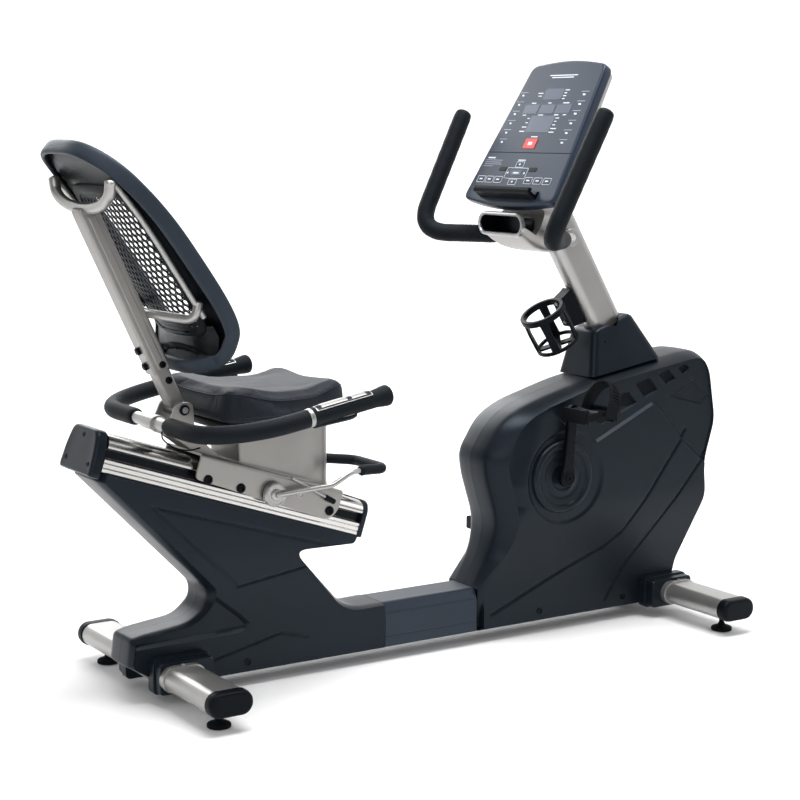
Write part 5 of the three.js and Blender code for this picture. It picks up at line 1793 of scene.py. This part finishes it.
def outlined_key(name, y, z, width, height, radius=3.0):
    """A key: a white outline round a raised face; its sign is a separate mark."""
    outer = corner_curve([(y - width / 2, z - height / 2, radius), (y + width / 2, z - height / 2, radius),
                          (y + width / 2, z + height / 2, radius), (y - width / 2, z + height / 2, radius)],
                          5)
    line = 1.1
    inner = shrunk(outer, line)
    rings = [[(x, p.x, p.y) for p in curve] for x,
             curve in ((-0.1, outer), (-0.55, outer), (-0.55, inner), (-0.1, inner))]
    loft(name, rings, PRINT, "frame", closed=True, at=CONSOLE)
    inside_curve = shrunk(outer, line + 0.4)
    loft(f"{name}_face", [[(x, p.x, p.y) for p in curve] for x, curve in (
        (-0.1, inside_curve), (-0.7, shrunk(outer, line + 0.9)), (-0.9, shrunk(outer, line + 2.2)))], SLATE,
        "frame",
        at=CONSOLE)


def console_marks():
    for name, y, z, width, height in (("small", 5, 293, 74, 31), ("left", 69, 251, 58, 25),
                                      ("middle", 5, 251, 58, 25),
                                      ("right", -59, 251, 58, 25), ("large", 5, 209, 96, 46)):
        mark(f"window_{name}", y, z, width, height, WINDOW, x=-0.5, radius=1.5)
    mark("start_key", 8, 155, 46, 27, RED, x=-1.1, radius=2)
    mark("start_sign", 8, 155, 16, 9, PRINT, x=-1.3, radius=1)
    labels = [(-42, 304, 17), (-40, 296, 10), (-40, 288, 12), (-40, 280, 10), (59, 296, 20), (57, 288, 13),
              (68, 268, 18), (5, 268, 13), (-60, 268, 24), (86, 234.5, 13), (20, 234.5, 20), (-42, 235, 16),
              (-74, 235, 13),
              (62, 225, 10), (62, 213, 9), (64, 201, 18), (66, 189, 20), (-52, 226, 15), (-50, 217, 9),
              (-50, 207, 11),
              (-55, 197, 22), (-53, 187, 20), (5, 174, 26), (10, 109, 30)]
    for i, (y, z, width) in enumerate(labels):
        mark(f"label_{i}", y, z, width, 2.6, PRINT, x=-0.3, radius=0.8)
    for i in range(6):
        z = 299 - i * 26.4
        for side, y in (("left", 128), ("right", -114)):
            mark(f"row_line_{side}_{i}", y, z, 30, 1.6, DIM_PRINT, x=-0.3, radius=0.5)
            mark(f"row_sign_{side}_{i}", y, z - 8.5, 8 if side == "left" else 10, 4.6, PRINT, x=-0.35,
                 radius=1.6, lean=1.2)
    mark("note_head", 138, 114, 30, 3.4, PRINT, x=-0.3)
    for i, (z, width) in enumerate(((107.5, 70), (102, 66), (96.5, 72), (91, 40))):
        mark(f"note_line_{i}", 158 - width / 2, z, width, 1.5, DIM_PRINT, x=-0.3, radius=0.5)
    for i, z in enumerate((346, 340)):
        mark(f"heading_stripe_{i}", 0, z, 110 - 24 * i, 2.6, PRINT, x=-0.3, radius=1.2)
    outlined_key("pad_middle", 10, 73, 84, 30, 4)
    mark("pad_enter", 10, 73, 40, 13, WINDOW, x=-1.5, radius=3)
    mark("pad_enter_sign", 10, 73, 22, 3.2, PRINT, x=-1.7)
    outlined_key("pad_up", 10, 97, 32, 16, 3)
    outlined_key("pad_down", 10, 49, 32, 16, 3)
    for i, (y, z) in enumerate(((10, 97), (10, 49), (43, 73), (-23, 73))):
        mark(f"pad_arrow_{i}", y, z, 6, 5, PRINT, x=-1.3, radius=2.4)
    for i, y in enumerate((142, 107, 72, -51, -88, -125)):
        outlined_key(f"quick_key_{i}", y, 54, 31, 18, 3)
        mark(f"quick_sign_{i}", y, 54, 12, 3.6, PRINT, x=-1.3, radius=1.2)
    for side, y in (("left", 70), ("right", -50)):
        port = [(-0.1 - 0.9 * (s < 1),
                 [(y + a * s, 84 + b * s) for a, b in stadium(34, 12, 10)]) for s in (1.0, 0.9)]
        loft(f"console_port_{side}", [[(x, a, b) for a, b in curve] for x, curve in port], GLOSS_BLACK,
             "frame", at=CONSOLE)


def reading_ledge():
    shape = corner_curve([(0, 4, 1), (-26, 7, 4), (-30, 13, 3), (-30, 22, 1.6), (-26.5, 23, 1.6),
                          (-26, 14, 4), (-8, 12, 4),
                          (-4, 25, 2), (0, 26, 1)], 5)
    rings = []
    for y, size in ((-114, 0.86), (-112, 0.96), (-108, 1.0), (108, 1.0), (112, 0.96), (114, 0.86)):
        rings.append([(p.x * size, y, 18 + (p.y - 18) * size) for p in shape])
    loft("reading_shelf", rings, BLACK, "frame", at=CONSOLE, stands_for=["reading_ledge"],
         slot="black_plastic", sharp=36)


console_shell()
console_marks()
reading_ledge()


MOUTH_Z = 1020


def console_housing():
    """The silver housing below the panel: a bright bezel round a dark oval mouth, tapering to the mast."""
    stations = [(-110, 84, 1004, 1036, 15), (-108, 90, 999, 1041, 18), (-100, 94, 992, 1045, 22),
                (-80, 97, 977, 1050, 24),
                (-56, 97, 963, 1054, 26), (-30, 94, 955, 1057, 28), (0, 86, 950, 1060, 30),
                (26, 74, 950, 1062, 30),
                (46, 60, 962, 1058, 26), (58, 46, 976, 1050, 20), (64, 34, 990, 1040, 14)]
    rings = []
    for x, half, low, high, corner in stations:
        shape = corner_curve([(-half * 0.86, low, corner), (half * 0.86, low, corner),
                              (half, (low + high) / 2 + 6, corner),
                              (half * 0.9, high, corner), (-half * 0.9, high, corner),
                              (-half, (low + high) / 2 + 6, corner)],
                             8)
        rings.append([(x, p.x, p.y) for p in shape])
    block = loft("console_neck", rings, SHADED_SILVER, None, sharp=40)
    oval = stadium(166, 40, 14)
    cutter = loft("cut_mouth", [[(x, a * s, MOUTH_Z + b * s) for a, b in oval]
                                for x, s in ((-130, 1.02), (-60, 0.94))], BLACK)
    panel_room = prism("cut_panel", [(-1, -60), (60, -60), (60, 120), (-1, 120)], "side", -210, 210, BLACK,
                       at=CONSOLE)
    carve(block, cutter, panel_room, sharp=40)
    on_body(block, "frame", ["console_housing"])
    rings = [[(x, a * s, MOUTH_Z + b * s) for a, b in oval]
             for x, s in ((-107, 1.0), (-107, 0.985), (-70, 0.93), (-62, 0.9))]
    points = [p for ring in rings for p in ring]
    size = len(rings[0])
    faces = [(i * size + k, i * size + (k + 1) % size, (i + 1) * size + (k + 1) % size, (i + 1) * size + k)
             for i in range(len(rings) - 1) for k in range(size)]
    faces.append(tuple(range((len(rings) - 1) * size, len(rings) * size)))
    piece("console_mouth", points, faces, GLOSS_BLACK, "frame", sharp=40)
    bezel = []
    for x, outward in ((-106, 0.0), (-110.5, 0.0), (-112.6, 1.6), (-112.6, 5.0), (-110.5, 8.0), (-104, 9.5)):
        out = shrunk([Vector(point) for point in oval], -outward)
        bezel.append([(x, p.x, MOUTH_Z + p.y) for p in out])
    loft("console_bezel", bezel, STEEL, "frame", closed=True)


console_housing()


def console_mast():
    section = [(a, b) for a, b in stadium(100, 54, 18)]
    path = [Vector((0, 0, z)) for z in (0, 3, 200, 400, 560, 583, 585)]
    directions = [Vector((a, b)) for a, b in section]
    rings = []
    for p, size in zip(path, (0.97, 1, 1, 1, 1, 1, 0.97)):
        rings.append([(d.x * size, d.y * size, p.z) for d in directions])
    loft("mast_tube", rings, SILVER, "frame", at=MAST, stands_for=["console_mast"], slot="silver_paint",
         sharp=50)
    collar = [[(d.x * s, d.y * s, z) for d in directions] for z,
              s in ((216, 1.03), (217, 1.05), (224, 1.05), (226, 1.02))]
    loft("mast_collar", collar, BLACK, "frame", at=MAST)
    for side, sign in (("right", -1), ("left", 1)):
        centre = MAST @ Vector((-10.5, 0, 500))
        sleeve = [(14.6, 26), (22, 26), (23, 27.5), (23, 52), (21.5, 54), (17, 54.6), (14.4, 54.6)]
        turned(f"bar_sleeve_{side}", [(r, sign * y) for r, y in sleeve], SILVER, "frame",
               centre=tuple(centre), axis="y")


console_mast()

FRONT_BAR = [(-21, -285, 1284), (-170, -272, 990, 80), (-70, -180, 988, 20), (70, -50, 984, 14),
             (70, 50, 984, 14),
             (-70, 180, 988, 20), (-170, 272, 990, 80), (-21, 285, 1284)]
front_bar = spaced(route(FRONT_BAR, 16), 10)


def handlebar():
    tube("handlebar_tube", part_of(front_bar, 0.01, 0.99), 14, SILVER, "frame", stands_for=["handlebar"],
         slot="silver_paint")
    for side, low, high in (("right", 0.0, 0.37), ("left", 0.63, 1.0)):
        path = part_of(front_bar, low, high)
        total = len(path)
        sizes = []
        for i in range(total):
            tip = i if low == 0.0 else total - 1 - i
            base = total - 1 - tip
            sizes.append(22 - 1.6 * smooth_step((1.5 - tip) / 1.5) - 1.5 * smooth_step((1.5 - base) / 1.5)
                         + 0.25 * math.sin(tip * 1.7))
        tube(f"handlebar_foam_{side}", path, sizes, FOAM, "frame", ends="round",
             stands_for=[f"handlebar_grip_{side}"],
             slot="foam", sides=36)
        end = path[-1] if low == 0.0 else path[0]
        toward = (part_of(front_bar, 0.38, 0.385)[0] if low == 0.0 else part_of(front_bar, 0.615, 0.62)[0])
        tube(f"grip_end_ring_{side}", [end + (toward - end) * 0.1, toward], 18, BLACK, "frame", ends="flat",
             sides=32)


handlebar()


def bottle_holder():
    """A ring basket: two rounded hoops, flat legs and an arm on the mast."""
    centre = Vector((-146, 0))
    height = 358

    def hoop(name, radius, z, tall, wide):
        rings = []
        profile = corner_curve([(-wide / 2, -tall / 2, 3), (wide / 2, -tall / 2, 3), (wide / 2, tall / 2, 3),
                                (-wide / 2, tall / 2, 3)], 5)
        for i in range(64):
            angle = 2 * math.pi * i / 64
            rings.append([(centre.x + (radius + p.x) * math.cos(angle), (radius + p.x) * math.sin(angle),
                           z + p.y)
                          for p in profile])
        return loft(name, rings, BLACK, "frame", closed=True, at=MAST, sharp=40)

    top = hoop("bottle_ring", 53, height + 4, 15, 11)
    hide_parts("bottle_holder")
    hoop("bottle_base_ring", 51, height - 87, 9, 8)
    floor = corner_curve([(-50, -9, 5), (50, -9, 5), (50, 9, 5), (-50, 9, 5)], 4)
    for i, turn in enumerate((0.9, 2.3)):
        spin = Matrix.Rotation(turn, 2)
        rings = [[((spin @ p).x * s + centre.x, (spin @ p).y * s, z) for p in floor] for z, s in (
            (height - 91.5, 0.98), (height - 90.5, 1.0), (height - 87, 1.0), (height - 86, 0.98))]
        loft(f"bottle_base_bar_{i}", rings, BLACK, "frame", at=MAST)
    for i, angle in enumerate((0.9, -0.9, 2.3, -2.3)):
        leg = corner_curve([(-3, -9, 2.4), (3, -9, 2.4), (3, 9, 2.4), (-3, 9, 2.4)], 4)
        rings = []
        for z in (height - 88, height - 80, height - 40, height, height + 4):
            bow = 2.2 * math.sin(math.pi * (z - height + 88) / 92)
            wide = 1.0 + 0.25 * abs(z - height + 44) / 44
            ring = []
            for p in leg:
                radial = 52 + p.x + bow
                across = p.y * wide
                ring.append((centre.x + radial * math.cos(angle) - across * math.sin(angle),
                             radial * math.sin(angle) + across * math.cos(angle), z))
            rings.append(ring)
        loft(f"bottle_leg_{i}", rings, BLACK, "frame", at=MAST)
    arm = corner_curve([(-98, height - 70, 6), (-50.5, height - 84, 4), (-50.5, height + 18, 6),
                        (-62, height + 14, 6),
                        (-98, height + 10, 4)], 5)
    rings = [[(p.x, y, p.y) for p in curve] for y, curve in (
        (-17, shrunk(arm, 1.4)), (-15.6, arm), (15.6, arm), (17, shrunk(arm, 1.4)))]
    loft("bottle_arm", rings, BLACK, "frame", at=MAST, sharp=40)
    for i, z in enumerate((height - 55, height)):
        turned(f"bottle_arm_bolt_{i}",
               [(5, -98), (5, -100.6), (4, -101.4), (2.5, -101.4), (2.2, -99.5), (0.5, -99.5)],
               STEEL, "frame", centre=(0, 0, z), axis="x", at=MAST, sides=20)


bottle_holder()
